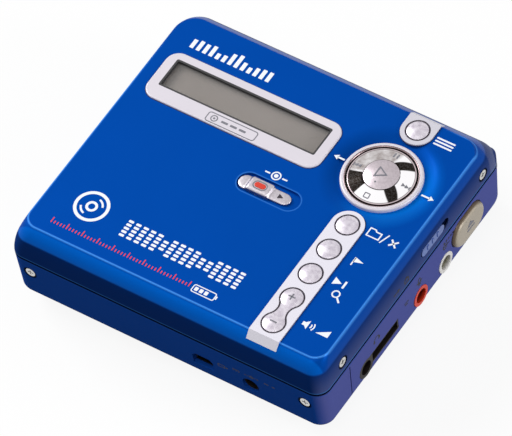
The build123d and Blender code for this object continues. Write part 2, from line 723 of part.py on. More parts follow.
# ---------------------------------------------------------------- disc holder and recording head
holder_inner = cartridge_width / 2 + gap
holder_outer = holder_inner + sheet
holder_front = cartridge_rear - cartridge_depth
holder_rear = cartridge_rear + 0.2
plate_rear = holder_rear - 1.5
wall_top = cartridge_high - 1.4
with BuildPart() as disc_holder:
    block((-holder_outer, holder_outer), (holder_front, plate_rear), (holder_top, holder_top + sheet))
    block((-holder_outer, holder_outer), (holder_rear, holder_rear + sheet),
          (cartridge_low - sheet, wall_top))
    for side in (-1, 1):
        side_wall = sorted((side * holder_inner, side * holder_outer))
        flange = sorted((side * (holder_inner - 3.0), side * holder_outer))
        block(side_wall, (holder_front, plate_rear), (cartridge_low - sheet, holder_top + sheet))
        block(side_wall, (holder_front, holder_rear + sheet), (cartridge_low - sheet, wall_top))
        block(flange, (holder_front, holder_rear + sheet), (cartridge_low - sheet, cartridge_low))
    add(holder_space.part, mode=Mode.INTERSECT)
    for side in (-1, 1):
        # an arm reaches back from the rear wall to the hinge pin
        eye = sorted((side * (holder_eye_x - holder_eye_width / 2),
                      side * (holder_eye_x + holder_eye_width / 2)))
        hinge_rod(holder_eye_radius, eye[0], eye[1])
        block(eye, (holder_rear, hinge_y),
              (hinge_z - holder_eye_radius + 0.1, hinge_z + holder_eye_radius - 0.1))
        hinge_rod(hinge_pin_radius + run_clearance, eye[0], eye[1], Mode.SUBTRACT)
    # a notch in the right wall, past which the latch hook swings with the lid
    block((holder_inner - 0.15, half_width), (latch_y - hook_half - 2 * gap, latch_y + hook_half + 2 * gap),
          (lid_bottom - 1, body_height), Mode.SUBTRACT)
    # the head works through a window, and two more openings lighten the plate
    block((lens_x - sled_travel - 2, lens_x + 2), (spindle_y - 2, spindle_y + 2),
          (holder_top - 1, holder_top + 1), Mode.SUBTRACT)
    for hole_x in (8.0, 22.0):
        rounded_block(hole_x, -14.0, holder_top - 1, holder_top + 1, 10, 24, 3, Mode.SUBTRACT)
finish(disc_holder, "disc_holder")

carriage_low = holder_top + sheet + run_clearance
with BuildPart() as head_carriage:
    block((lens_x - 5, lens_x + 4), (spindle_y - 6, spindle_y + 6), (carriage_low, carriage_low + 0.7))
    disc(lens_x, spindle_y, cartridge_high + 0.1, carriage_low, 1.5)
    block((lens_x - 2, lens_x + 2), (spindle_y - 1.5, spindle_y + 1.5),
          (carriage_low + 0.7, carriage_low + 1.2))
finish(head_carriage, "head_carriage")

# ---------------------------------------------------------------- base shell
ear_low = rim_height - 4.0
rim_cut = hinge_radius + gap
axis_x = -half_width + (rim_height - 9.0) * lean + door_barrel_radius / cos(radians(base_draft))
door_up = (-sin(radians(base_draft)), 0, cos(radians(base_draft)))


def door_axis_point(height):
    """The battery door's hinge axis at a height: it leans with the wall that it lies in."""
    return (axis_x - (height - 9.0) * lean, door_front, height)


def door_rod(radius, low, high, mode=Mode.ADD):
    """A rod or hole along the battery door's hinge axis, between two heights."""
    rod(door_axis_point(low), door_up, radius, (high - low) / cos(radians(base_draft)), mode)


def pill(x, y, z, depth, length, height, mode=Mode.ADD):
    """The open button's outline carried along X: a bar with two round ends."""
    with BuildSketch(Plane(origin=(x, y, z), x_dir=(0, 1, 0), z_dir=(1, 0, 0))) as outline:
        SlotOverall(length, height)
    extrude(outline.sketch, amount=depth, mode=mode)


def usb_mouth(y, depth, width, height, mode=Mode.ADD):
    """The small socket's mouth: a rectangle with its two upper corners cut off."""
    slope = 0.9
    with BuildSketch(Plane(origin=(usb_x, y, usb_z), x_dir=(1, 0, 0), z_dir=(0, -1, 0))) as outline:
        with BuildLine():
            Polyline((-width / 2, -height / 2), (width / 2, -height / 2), (width / 2, height / 2 - slope),
                     (width / 2 - slope, height / 2), (slope - width / 2, height / 2),
                     (-width / 2, height / 2 - slope), close=True)
        make_face()
    extrude(outline.sketch, amount=depth, mode=mode)


jack_face = half_width - (rim_height - jack_height) * lean
button_in = half_width - 2.9
ear_from = hinge_ear_x - hinge_ear_width / 2
screw_face = half_depth - (rim_height - base_screw_z) * lean

# the two ears that carry the hinge pins stand on the back wall
with BuildPart() as hinge_ears:
    for side in (-1, 1):
        ear = sorted((side * ear_from, side * (ear_from + hinge_ear_width)))
        hinge_rod(hinge_radius, ear[0], ear[1])
        block(ear, (hinge_y - 1.0, half_depth - 0.6), (ear_low, hinge_z))
        hinge_rod(hinge_pin_radius + run_clearance, ear[0], ear[1], Mode.SUBTRACT)
    add(body_prism.part, mode=Mode.INTERSECT)

# the ear of the battery door's hinge grows out of the left wall, between the door's two barrels
door_edge_x = (-half_width - 1, -half_width + 4)
with BuildPart() as door_ear:
    block((axis_x - 0.35, door_edge_x[1]), (door_front - 1.2, door_front), (ear_bottom, ear_top))
    add(base_block.part, mode=Mode.INTERSECT)
    add(base_hollow.part, mode=Mode.SUBTRACT)
    door_rod(door_barrel_radius, ear_bottom, ear_top)
    door_rod(door_pin_radius + run_clearance, ear_bottom - 1, ear_top + 1, Mode.SUBTRACT)

with BuildPart() as base_shell:
    add(base_block.part)
    add(base_hollow.part, mode=Mode.SUBTRACT)
    # a thin lip stands inside each side of the rim and closes the parting line
    for side in (-1, 1):
        lip = sorted((side * (wall_x - gap - lip_thickness), side * (wall_x - gap)))
        root = sorted((side * (wall_x - gap - lip_thickness), side * (wall_x + 0.2)))
        block(lip, (-lip_reach, lip_reach), (rim_height - lip_root, rim_height + lip_height))
        block(root, (-lip_reach, lip_reach), (rim_height - lip_root, rim_height - 0.2))
    # room for the lid's barrel, then the ears
    hinge_rod(rim_cut, -half_width - 1, half_width + 1, Mode.SUBTRACT)
    block((-half_width - 1, half_width + 1), (hinge_y, half_depth + 1), (hinge_z - rim_cut, body_height),
          Mode.SUBTRACT)
    add(hinge_ears.part)
    # posts for the drive's chassis, each with a shoulder under the main board
    for post_x, post_y in posts:
        disc(post_x, post_y, floor - 0.3, board_underside, post_radius + 0.8)
        disc(post_x, post_y, floor - 0.3, chassis_underside - damper_height, post_radius)
    # guides under the latch plate
    for guide_y in latch_guides:
        block((latch_from - 0.4, wall_x + 0.2), (guide_y - 1.0, guide_y + 1.0), (latch_low - 1.0, latch_low))
    # the open button's hole
    pill(half_width - 3.5, open_y, open_z, 5, open_length + 2 * key_gap, open_height + 2 * key_gap,
         Mode.SUBTRACT)
    # sockets along the right wall
    for jack_y in (line_in_y, mic_y, headphone_y):
        rod((wall_x - 3, jack_y, jack_height), (1, 0, 0), jack_ring_radius + 0.05, 6, Mode.SUBTRACT)
    block((wall_x - 3, half_width + 1), (headphone_y, remote_slot_to + 0.4),
          (remote_slot_z - remote_slot_height / 2 - 0.4, remote_slot_z + remote_slot_height / 2 + 0.4),
          Mode.SUBTRACT)
    # sockets in the front wall
    usb_mouth(-half_depth + 3, 5, usb_width + gap, usb_height + gap, Mode.SUBTRACT)
    rod((dc_x, -half_depth + 3, dc_z), (0, -1, 0), dc_bore_radius + 0.35, 5, Mode.SUBTRACT)
    # the front screws
    for side in (-1, 1):
        rod((side * base_screw_x, -screw_face + counterbore_depth, base_screw_z), (0, -1, 0),
            counterbore_radius, 2, Mode.SUBTRACT)
        rod((side * base_screw_x, -screw_face + 3, base_screw_z), (0, -1, 0), screw_shank_radius + 0.1, 4,
            Mode.SUBTRACT)
    # the battery door's opening, with the ear of its hinge
    block(door_edge_x, (door_front - 1.0, door_rear + door_edge_gap),
          (door_low - door_edge_gap, door_high + door_edge_gap), Mode.SUBTRACT)
    add(door_ear.part)
    # a fine joint line on the right wall near the front
    block((half_width - 0.6, half_width + 1), (-26.5, -26.2), (3.0, rim_height - 1.0), Mode.SUBTRACT)
finish(base_shell, "base_shell")

with BuildPart() as battery_door:
    block(door_edge_x, (door_front, door_rear), (door_low, door_high))
    add(base_block.part, mode=Mode.INTERSECT)
    add(base_hollow.part, mode=Mode.SUBTRACT)
    door_rod(door_barrel_radius, door_low + 2.0, door_high - 0.3)
    door_rod(door_barrel_radius + 0.15, ear_bottom - 0.2, ear_top + 0.2, Mode.SUBTRACT)
    door_rod(door_pin_radius, pin_low, pin_high, Mode.SUBTRACT)
    # a finger ridge near the free edge
    with Locations((-half_width + 0.35, door_rear - 2.0, ear_bottom + 1)):
        Box(1.0, 0.7, 8.0)
finish(battery_door, "battery_door")

with BuildPart() as battery_door_pin:
    door_rod(door_pin_radius, pin_low, pin_high)
finish(battery_door_pin, "battery_door_pin")

# The negative contact is a spring leaf on the door's inner face.
leaf_low, leaf_high = belly_height, 12.0
leaf_bend = (leaf_low + leaf_high) / 2
leaf_x = -half_width + (rim_height - leaf_low) * lean + wall + 0.02
with BuildPart() as battery_contact_minus:
    with BuildSketch(Plane(origin=(0, battery_y - 3.0, 0), x_dir=(1, 0, 0), z_dir=(0, 1, 0))):
        with BuildLine():
            # the sketch's second coordinate points down
            lower = (leaf_x, -leaf_low)
            upper = (leaf_x - (leaf_high - leaf_low) * lean, -leaf_high)
            Polyline(lower, (lower[0] + 0.3, lower[1]), (lower[0] + 1.1, -leaf_bend),
                     (upper[0] + 0.3, 0.8 - leaf_high), (upper[0] + 0.3, upper[1]), upper, close=True)
        make_face()
    extrude(amount=6.0)
finish(battery_contact_minus, "battery_contact_minus")

# ---------------------------------------------------------------- battery bay
tube_left = -half_width + (rim_height - 2.0) * lean + wall + tube_to_wall
tube_right = tube_left + cell_length + 0.92
with BuildPart() as battery_tube:
    rod((tube_left, battery_y, tube_z), (1, 0, 0), tube_outer, tube_right - tube_left)
    rod((tube_left, battery_y, tube_z), (1, 0, 0), cell_bay_radius, tube_right - tube_left - 0.6,
        Mode.SUBTRACT)
finish(battery_tube, "battery_tube")

with BuildPart() as battery_contact_plus:
    rod((tube_right - 0.6, battery_y, tube_z), (-1, 0, 0), 4.0, 0.4)
    rod((tube_right - 1.0, battery_y, tube_z), (-1, 0, 0), 1.4, 0.5)
finish(battery_contact_plus, "battery_contact_plus")

# ---------------------------------------------------------------- open button and latch plate
with BuildPart() as open_button:
    pill(button_in, open_y, open_z, half_width + open_protrusion - 0.6 - button_in, open_length, open_height)
    fillet(open_button.faces().sort_by(Axis.X)[-1].edges(), 1.1)
    pill(button_in - 0.6, open_y, open_z, 0.6, open_length + 1.6, open_height - 0.6)
    block((latch_to, button_in), (open_y - 1.5, open_y + 1.5), (latch_low, latch_high))
finish(open_button, "open_button")

with BuildPart() as latch_plate:
    block((latch_from, latch_to), (latch_y - 2.0, latch_guides[1] + 1.2), (latch_low, latch_high))
    block((latch_from, tab_from - toe_reach + latch_bite), (latch_y - 1.4, latch_y + 1.4),
          (toe_low + toe_height + 0.2, latch_high))
finish(latch_plate, "latch_plate")

# ---------------------------------------------------------------- sockets
board_top = board_underside + board_thickness
usb_face = -half_depth + 1.3
dc_face = -half_depth + 2.6


def jack(name, jack_y, ring_height, slot_end=None):
    """A round socket on the board: a block, a ring that shows in the right wall and any slot beside it."""
    body_x = (wall_x - jack_depth, latch_from + 0.2)
    slot_z = (remote_slot_z - remote_slot_height / 2, remote_slot_z + remote_slot_height / 2)
    with BuildPart() as socket:
        block(body_x, (jack_y - jack_body_half, jack_y + jack_body_half),
              (board_top, jack_height + jack_body_rise))
        rod((body_x[1], jack_y, jack_height), (1, 0, 0), jack_ring_radius,
            jack_face + ring_height - body_x[1])
        if slot_end:
            block(body_x, (jack_y, slot_end + 1.6), (board_top, jack_height + jack_body_rise))
            block((body_x[1], jack_face), (jack_y, slot_end + 0.3), (slot_z[0] - 0.3, slot_z[1] + 0.3))
            block((wall_x - 5.0, half_width), (remote_slot_from, slot_end), slot_z, Mode.SUBTRACT)
        rod((body_x[0] + 1, jack_y, jack_height), (1, 0, 0), jack_bore_radius, jack_depth + 2, Mode.SUBTRACT)
    finish(socket, name)


jack("line_in_jack", line_in_y, 0.2)
jack("mic_jack", mic_y, 0.2)
jack("headphone_socket", headphone_y, 0.0, remote_slot_to)

with BuildPart() as usb_socket:
    usb_mouth(usb_face + socket_depth, socket_depth, usb_width, usb_height)
    block((usb_x - 3.0, usb_x + 3.0), (usb_face + 2.0, usb_face + socket_depth),
          (board_top, usb_z + usb_height / 2))
    usb_mouth(usb_face + 5.7, 7, usb_width - 0.7, usb_height - 0.7, Mode.SUBTRACT)
    block((usb_x - 1.5, usb_x + 1.5), (usb_face + 0.7, usb_face + 5.9), (usb_z - 0.7, usb_z))
finish(usb_socket, "usb_socket")

with BuildPart() as dc_jack:
    block((dc_x - 2.8, dc_x + 2.8), (dc_face, dc_face + socket_depth), (board_top, dc_z + 2.6))
    rod((dc_x, dc_face, dc_z), (0, -1, 0), dc_bore_radius + 0.3, 1.6)
    rod((dc_x, dc_face + 5.4, dc_z), (0, -1, 0), dc_bore_radius, 8, Mode.SUBTRACT)
    rod((dc_x, dc_face + 5.6, dc_z), (0, -1, 0), dc_pin_radius, 6.0)
finish(dc_jack, "dc_jack")

# ---------------------------------------------------------------- main board
board_right = half_width - 4.0
board_front, board_rear = -half_depth + 2.7, half_depth - 5.2
with BuildPart() as main_board:
    with BuildSketch(Plane.XY.offset(board_underside)):
        with BuildLine():
            Polyline((-board_right, board_front), (board_right, board_front), (board_right, board_rear),
                     (tube_right + 2.1, board_rear), (tube_right + 2.1, battery_y - tube_outer - 0.7),
                     (-board_right, battery_y - tube_outer - 0.7), close=True)
        make_face()
        with Locations(*posts):
            Circle(post_radius + 0.15, mode=Mode.SUBTRACT)
    extrude(amount=board_thickness)
finish(main_board, "main_board")

# each chip's place along X and Y, its side and its height
chips = [(-20, -22, 12, 1.2), (-2, -24, 9, 1.2), (12, -14, 7, 1.0), (-22, 8, 8, 1.2), (8, 9, 6, 1.0),
         (23, 25, 9, 1.4)]
capacitor_pitch, capacitor_radius, capacitor_height = 4.5, 1.6, 2.4
with BuildPart() as board_chips:
    for chip_x, chip_y, side, height in chips:
        block((chip_x - side / 2, chip_x + side / 2), (chip_y - side / 2, chip_y + side / 2),
              (board_top, board_top + height))
    for place in range(4):
        disc(-13 + capacitor_pitch * place, -31, board_top, board_top + capacitor_height, capacitor_radius)
finish(board_chips, "board_chips")

# ---------------------------------------------------------------- drive
chassis_top = chassis_underside + chassis_thickness
chassis_front = -half_depth + 3.6
chassis_rear = battery_y - tube_outer - 0.6
rods = [spindle_y + rod_spacing / 2, spindle_y - rod_spacing / 2]
rod_left, rod_right = -half_width + 3.0, lens_x + 7.0
bracket_width = 0.8
brackets = [(rod_left + 0.6, rod_left + 0.6 + bracket_width), (rod_right - bracket_width, rod_right)]
screw_right = rod_right + 2.1
with BuildPart() as mech_chassis:
    block((brackets[0][0], latch_from - 1.4), (chassis_front, chassis_rear), (chassis_underside, chassis_top))
    # the sled's window and the shaft's hole
    block((lens_x - sled_travel - 5.4, lens_x + 5.2), (spindle_y - 8.0, spindle_y + 8.0),
          (chassis_underside - 1, chassis_top + 1), Mode.SUBTRACT)
    disc(0, spindle_y, chassis_underside - 1, chassis_top + 1, shaft_radius + gap, Mode.SUBTRACT)
    # tabs for the front screws
    for side in (-1, 1):
        span = sorted((side * (base_screw_x - 1.6), side * (base_screw_x + 1.6)))
        bridge = sorted((side * (base_screw_x - 5.5), side * (base_screw_x + 1.6)))
        block(bridge, (chassis_front - 1.0, chassis_front), (chassis_underside, chassis_top))
        block(span, (chassis_front - 1.0, chassis_front - 0.2), (base_screw_z - 1.5, chassis_top))
        rod((side * base_screw_x, chassis_front + 1, base_screw_z), (0, -1, 0), screw_shank_radius, 4,
            Mode.SUBTRACT)
    # brackets that hold the two rods and the lead screw's outer end
    for span in brackets:
        for rod_y in rods:
            block(span, (rod_y - 1.4, rod_y + 1.4), (rod_height - 1.4, chassis_underside + 0.1))
    block(brackets[0], (lead_screw_y - 1.4, lead_screw_y + 1.4), (rod_height - 1.4, chassis_underside + 0.1))
    for rod_y in rods:
        rod((rod_left - 1, rod_y, rod_height), (1, 0, 0), rod_radius, rod_right - rod_left + 2, Mode.SUBTRACT)
    rod((rod_left - 1, lead_screw_y, rod_height), (1, 0, 0), lead_screw_neck + run_clearance, 4,
        Mode.SUBTRACT)
    for post_x, post_y in posts:
        disc(post_x, post_y, chassis_underside - 1, chassis_top + 1, 0.9, Mode.SUBTRACT)
finish(mech_chassis, "mech_chassis")

with BuildPart() as chassis_dampers:
    for post_x, post_y in posts:
        disc(post_x, post_y, chassis_underside - damper_height, chassis_underside, post_radius + 0.5)
finish(chassis_dampers, "chassis_dampers")

with BuildPart() as spindle_motor:
    disc(0, spindle_y, chassis_underside - motor_height, chassis_underside, motor_radius)
    fillet(spindle_motor.faces().sort_by(Axis.Z)[0].edges(), 0.6)
    disc(0, spindle_y, chassis_underside - motor_height + 0.6, chassis_underside,
         shaft_radius + run_clearance, Mode.SUBTRACT)
finish(spindle_motor, "spindle_motor")

with BuildPart() as turntable:
    disc(0, spindle_y, chassis_underside - motor_height + 0.8, chassis_top + 0.3, shaft_radius)
    disc(0, spindle_y, chassis_top + 0.3, cartridge_low - 1.1, turntable_radius)
    disc(0, spindle_y, cartridge_low - 1.1, cartridge_low + hub_rise, hub_radius)
    chamfer(turntable.faces().sort_by(Axis.Z)[-1].edges(), 0.5)
finish(turntable, "turntable")

with BuildPart() as turntable_magnet:
    disc(0, spindle_y, cartridge_low - 1.1, cartridge_low - 0.5, hub_radius + 1.8)
    disc(0, spindle_y, cartridge_low - 1.1, cartridge_low - 0.5, hub_radius, Mode.SUBTRACT)
finish(turntable_magnet, "turntable_magnet")

with BuildPart() as guide_rods:
    for rod_y in rods:
        rod((rod_left, rod_y, rod_height), (1, 0, 0), rod_radius, rod_right - rod_left)
finish(guide_rods, "guide_rods")

with BuildPart() as pickup_sled:
    block((lens_x - 4.0, lens_x + 3.5), (lead_screw_y - 1.3, rods[0] + 1.4),
          (rod_height - 1.2, rod_height + 0.9))
    block((lens_x - 4.0, lens_x + 3.5), (spindle_y - 7.2, spindle_y + 7.2),
          (rod_height + 0.9, chassis_top + 0.9))
    chamfer(pickup_sled.faces().sort_by(Axis.Z)[-1].edges(), 0.4)
    for rod_y in rods:
        rod((lens_x - 6, rod_y, rod_height), (1, 0, 0), rod_radius + run_clearance, 12, Mode.SUBTRACT)
    rod((lens_x - 6, lead_screw_y, rod_height), (1, 0, 0), lead_screw_radius + run_clearance, 12,
        Mode.SUBTRACT)
finish(pickup_sled, "pickup_sled")

with BuildPart() as pickup_lens:
    disc(lens_x, spindle_y, chassis_top + 0.9, chassis_top + 1.5, 2.4)
    disc(lens_x, spindle_y, chassis_top + 1.5, chassis_top + 1.9, 1.7)
    fillet(pickup_lens.faces().sort_by(Axis.Z)[-1].edges(), 0.35)
finish(pickup_lens, "pickup_lens")

with BuildPart() as lead_screw:
    rod((brackets[0][0], lead_screw_y, rod_height), (1, 0, 0), lead_screw_neck, 1.0)
    rod((brackets[0][1] + 0.1, lead_screw_y, rod_height), (1, 0, 0), lead_screw_radius,
        screw_right - brackets[0][1] - 0.1)
    rod((screw_right, lead_screw_y, rod_height), (1, 0, 0), lead_screw_neck, 4.0)
finish(lead_screw, "lead_screw")

with BuildPart() as sled_motor:
    block((screw_right + 0.2, screw_right + 11.4), (lead_screw_y - 2.6, lead_screw_y + 2.6),
          (rod_height - 2.6, chassis_underside))
    rod((screw_right, lead_screw_y, rod_height), (1, 0, 0), lead_screw_neck + run_clearance, 4.3,
        Mode.SUBTRACT)
finish(sled_motor, "sled_motor")

with BuildPart() as base_screws:
    for side in (-1, 1):
        face_y = -screw_face + counterbore_depth
        rod((side * base_screw_x, face_y, base_screw_z), (0, -1, 0), screw_head_radius, screw_head_height)
        rod((side * base_screw_x, chassis_front + 0.1, base_screw_z), (0, -1, 0), screw_shank_radius,
            chassis_front + 0.1 - face_y)
        with Locations((side * base_screw_x, face_y - screw_head_height, base_screw_z)):
            Box(1.5, 0.6, 0.32, mode=Mode.SUBTRACT)
            Box(0.32, 0.6, 1.5, mode=Mode.SUBTRACT)
finish(base_screws, "base_screws")
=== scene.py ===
# %% [markdown]
# # A pocket disc recorder, dressed for its picture
#
# The construction comes finished: every casing, key, socket and gear is a solid at its real size.
# This script gives each of them its finish, adds what is printed, engraved or threaded, and sets up
# the table, the lamps and the camera. It starts by loading the solids as a fixed frame.

# %% Load the construction
import json
from math import atan2, cos, degrees, pi, radians, sin, tan

import bpy
import numpy as np
from mathutils import Matrix, Vector


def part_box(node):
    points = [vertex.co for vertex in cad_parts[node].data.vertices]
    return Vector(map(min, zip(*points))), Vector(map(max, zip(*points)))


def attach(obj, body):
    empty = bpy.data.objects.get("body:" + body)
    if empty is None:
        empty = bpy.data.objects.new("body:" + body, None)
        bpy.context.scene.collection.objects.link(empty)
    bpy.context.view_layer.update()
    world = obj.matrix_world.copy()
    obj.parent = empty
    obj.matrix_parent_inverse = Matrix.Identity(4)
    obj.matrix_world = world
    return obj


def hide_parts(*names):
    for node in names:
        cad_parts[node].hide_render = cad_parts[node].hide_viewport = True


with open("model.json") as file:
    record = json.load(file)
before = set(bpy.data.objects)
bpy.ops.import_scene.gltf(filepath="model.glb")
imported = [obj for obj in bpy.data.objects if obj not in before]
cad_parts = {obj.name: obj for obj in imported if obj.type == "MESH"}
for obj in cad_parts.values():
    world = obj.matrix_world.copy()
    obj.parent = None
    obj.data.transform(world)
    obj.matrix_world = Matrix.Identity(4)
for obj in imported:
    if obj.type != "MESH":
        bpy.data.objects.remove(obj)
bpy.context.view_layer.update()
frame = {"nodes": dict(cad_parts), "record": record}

# %% [markdown]
# Blender works in metres, and this recorder is easier to think about in millimetres. One named factor
# turns one into the other. `low` and `high` give the corners of a solid in millimetres, so that many
# prints and the thread find the surface they lie on instead of a copied number.

# %% Millimetres, and where each solid is
MM = 0.001


def low(node):
    """The lowest corner of a solid, in millimetres."""
    return np.array(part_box(node)[0]) / MM


def high(node):
    """The highest corner of a solid, in millimetres."""
    return np.array(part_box(node)[1]) / MM


def middle(node):
    """The middle of a solid's box, in millimetres."""
    return (low(node) + high(node)) / 2


lid_size = high("lid_shell") - low("lid_shell")
print("the lid measures", lid_size.round(2), "mm")

# %% [markdown]
# ## The camera
#
# The picture was taken from the front right, rather high, with a long lens: the far edges of the
# square body are hardly shorter than the near ones. The camera also leans a little. Its place is
# worked out from two angles, a roll and a distance, and a small sideways step centres the body.

# %% Camera
azimuth, elevation, roll = radians(40.0), radians(52.92), radians(-8.97)
distance = 1500.0
focal_pixels = 6896.0
picture_width = 512
aim = np.array([0.0, 0.0, 13.7])
step_right, step_down = 2.6, -4.9

backward = np.array([sin(azimuth) * cos(elevation), -cos(azimuth) * cos(elevation), sin(elevation)])
level_right = np.cross(-backward, [0.0, 0.0, 1.0])
level_right /= np.linalg.norm(level_right)
level_up = np.cross(backward, level_right)
image_right = cos(roll) * level_right + sin(roll) * level_up
image_up = cos(roll) * level_up - sin(roll) * level_right
pixel = distance / focal_pixels
place = aim + backward * distance - image_right * step_right * pixel + image_up * step_down * pixel

camera_data = bpy.data.cameras.new("camera")
camera_data.sensor_width = 36.0
camera_data.lens = focal_pixels / picture_width * camera_data.sensor_width
camera_data.clip_end = 50.0
camera = bpy.data.objects.new("camera", camera_data)
bpy.context.scene.collection.objects.link(camera)
turn = Matrix([image_right, image_up, backward]).transposed().to_4x4()
camera.matrix_world = Matrix.Translation(place * MM) @ turn
bpy.context.scene.camera = camera
print("the lens is", round(camera_data.lens), "mm long")

# %% [markdown]
# ## Writing shaders as sums
#
# A finish is a small network of nodes. Written out link by link it can't be read, so one class wraps
# a socket and overloads the usual operators: `0.3 + 0.1 * grain` adds its Math nodes by itself.


# %% A socket that can be calculated with
class Signal:
    """A value on its way through a network. Sums with it add Math nodes."""

    def __init__(self, network, socket):
        self.network = network
        self.socket = socket

    def maths(self, operation, first, second):
        return self.network.node("ShaderNodeMath", {"operation": operation}, {0: first, 1: second})

    def __add__(self, other):
        return self.maths("ADD", self, other)

    def __radd__(self, other):
        return self.maths("ADD", other, self)

    def __sub__(self, other):
        return self.maths("SUBTRACT", self, other)

    def __rsub__(self, other):
        return self.maths("SUBTRACT", other, self)

    def __mul__(self, other):
        return self.maths("MULTIPLY", self, other)

    def __rmul__(self, other):
        return self.maths("MULTIPLY", other, self)

    def __truediv__(self, other):
        return self.maths("DIVIDE", self, other)

    def __rtruediv__(self, other):
        return self.maths("DIVIDE", other, self)

    def __pow__(self, other):
        return self.maths("POWER", self, other)

    def __rpow__(self, other):
        return self.maths("POWER", other, self)

    def __gt__(self, other):
        return self.maths("GREATER_THAN", self, other)

    def __lt__(self, other):
        return self.maths("LESS_THAN", self, other)

    def __neg__(self):
        return self.maths("MULTIPLY", self, -1.0)

    def __abs__(self):
        return self.maths("ABSOLUTE", self, 0.0)

    def above(self, other):
        """The larger of the two."""
        return self.maths("MAXIMUM", self, other)

    def below(self, other):
        """The smaller of the two."""
        return self.maths("MINIMUM", self, other)

    def ramp(self, start, end):
        """0 below the start, 1 past the end, and a straight rise between them."""
        return ((self - start) / (end - start)).above(0.0).below(1.0)

    def drop(self, start, end):
        """1 below the start, 0 past the end, and a straight fall between them."""
        return 1 - self.ramp(start, end)


print("a Signal adds its Math nodes by itself")

# %% [markdown]
# All other nodes come from a single method, which sets what kind of node it is before its sockets. The
# table, the surroundings and the finishes share it. A finish is the network of one material: it knows
# the point on the object in millimetres, cloudy noise, the blend of two colours and a relief.


# %% Networks and finishes
class Network:
    """The nodes of a material or of the surroundings."""

    def __init__(self, tree):
        self.tree = tree

    def node(self, kind, settings=None, sockets=None, result=0):
        """Adds a node: its settings first, then a value or a link for each socket."""
        made = self.tree.nodes.new(kind)
        for key, value in (settings or {}).items():
            setattr(made, key, value)
        for key, value in (sockets or {}).items():
            if isinstance(value, Signal):
                self.tree.links.new(value.socket, made.inputs[key])
            else:
                made.inputs[key].default_value = value
        return Signal(self, made.outputs[result])

    def outputs(self, signal, names):
        """Several outputs of the node that a signal comes from."""
        return [Signal(self, signal.socket.node.outputs[name]) for name in names]


class Finish(Network):
    """A material under construction: one shader, and the nodes that feed it."""

    def __init__(self, name):
        self.material = bpy.data.materials.new(name)
        self.material.use_nodes = True
        super().__init__(self.material.node_tree)
        self.tree.nodes.clear()
        self.output = self.tree.nodes.new("ShaderNodeOutputMaterial")
        self.shader = self.tree.nodes.new("ShaderNodeBsdfPrincipled")
        self.tree.links.new(self.shader.outputs["BSDF"], self.output.inputs["Surface"])

    def feed(self, **values):
        """Sets or links the shader's own sockets; an underscore stands for a space."""
        for key, value in values.items():
            socket = self.shader.inputs[key.replace("_", " ")]
            if isinstance(value, Signal):
                self.tree.links.new(value.socket, socket)
            else:
                socket.default_value = value
        return self.material

    def millimetres(self, stretch=(1.0, 1.0, 1.0), centre=(0.0, 0.0, 0.0)):
        """The point on the object in millimetres, from a centre, stretched along each axis."""
        where = self.node("ShaderNodeTexCoord", result="Object")
        scale = [factor / MM for factor in stretch]
        shift = [-place * factor for place, factor in zip(centre, stretch)]
        return self.node("ShaderNodeMapping", {"vector_type": "POINT"},
                         {"Vector": where, "Location": shift, "Scale": scale})

    def axes(self, centre=(0.0, 0.0, 0.0)):
        """The point's three coordinates in millimetres, as three signals."""
        parts = self.node("ShaderNodeSeparateXYZ", {}, {"Vector": self.millimetres(centre=centre)})
        return self.outputs(parts, "XYZ")

    def noise(self, size, detail=3.0, stretch=(1.0, 1.0, 1.0)):
        """Cloudy noise from 0 to 1 whose blots are about `size` millimetres across."""
        return self.node("ShaderNodeTexNoise", {"noise_dimensions": "3D"},
                         {"Vector": self.millimetres(stretch), "Scale": 1.0 / size, "Detail": detail})

    def blend(self, share, first, second):
        """A colour that goes from the first to the second as the share goes from 0 to 1."""
        return self.node("ShaderNodeMix", {"data_type": "RGBA", "clamp_factor": True},
                         {0: share, 6: first, 7: second}, result=2)

    def relief(self, height, depth):
        """A normal that shows a height map whose full range is `depth` millimetres deep."""
        return self.node("ShaderNodeBump", {}, {"Height": height, "Distance": depth * MM, "Strength": 1.0})


print("a Finish has one shader")

# %% [markdown]
# Colours are easier to judge as they look on a screen, from 0 to 255, but a shader wants them linear.


# %% Screen colours
def screen(red, green, blue):
    """A linear colour from its look on a screen: each channel follows the screen's own curve."""
    channels = np.array([red, green, blue]) / 255.0
    linear = np.where(channels <= 0.04045, channels / 12.92, ((channels + 0.055) / 1.055) ** 2.4)
    return (*linear, 1.0)


print("mid grey is", round(screen(128, 128, 128)[0], 3), "in linear light")

# %% [markdown]
# ## Painted and moulded surfaces
#
# Most of what shows is paint or moulded plastic. No such surface is perfectly even: paint carries
# fine flakes and a faint orange peel, handling leaves it shinier in some places, and a moulding has a
# grain. One function makes all of these from a colour, a gloss and three small sizes.


# %% A painted or moulded finish
def coated(name, colour, darker, roughness, metallic=0.0, coat=0.0, grain=0.12, depth=0.002,
           cloud=9.0, specular=0.5, spread=0.05, contrast=0.5):
    """Paint or plastic: colour and gloss wander in soft clouds, over a fine grain.

    The colour goes between two shades with a slow noise and a fast one. Roughness follows the slow
    noise. The fast one also gives the grain its relief.
    """
    finish = Finish(name)
    slow = finish.noise(cloud, detail=2.0)
    fast = finish.noise(grain, detail=1.0)
    shade = finish.blend(0.5 + contrast * (slow - 0.5) + 0.35 * (fast - 0.5), darker, colour)
    gloss = roughness - spread / 2 + spread * slow
    return finish.feed(Base_Color=shade, Roughness=gloss, Metallic=metallic, Coat_Weight=coat,
                       Coat_Roughness=0.12, Specular_IOR_Level=specular,
                       Normal=finish.relief(fast, depth))


def silver(name, colour, darker):
    """Silver paint: a fine, nearly even flake with a satin gloss."""
    return coated(name, colour, darker, 0.40, metallic=0.10, coat=0.02, grain=0.09, depth=0.0012,
                  specular=0.3)


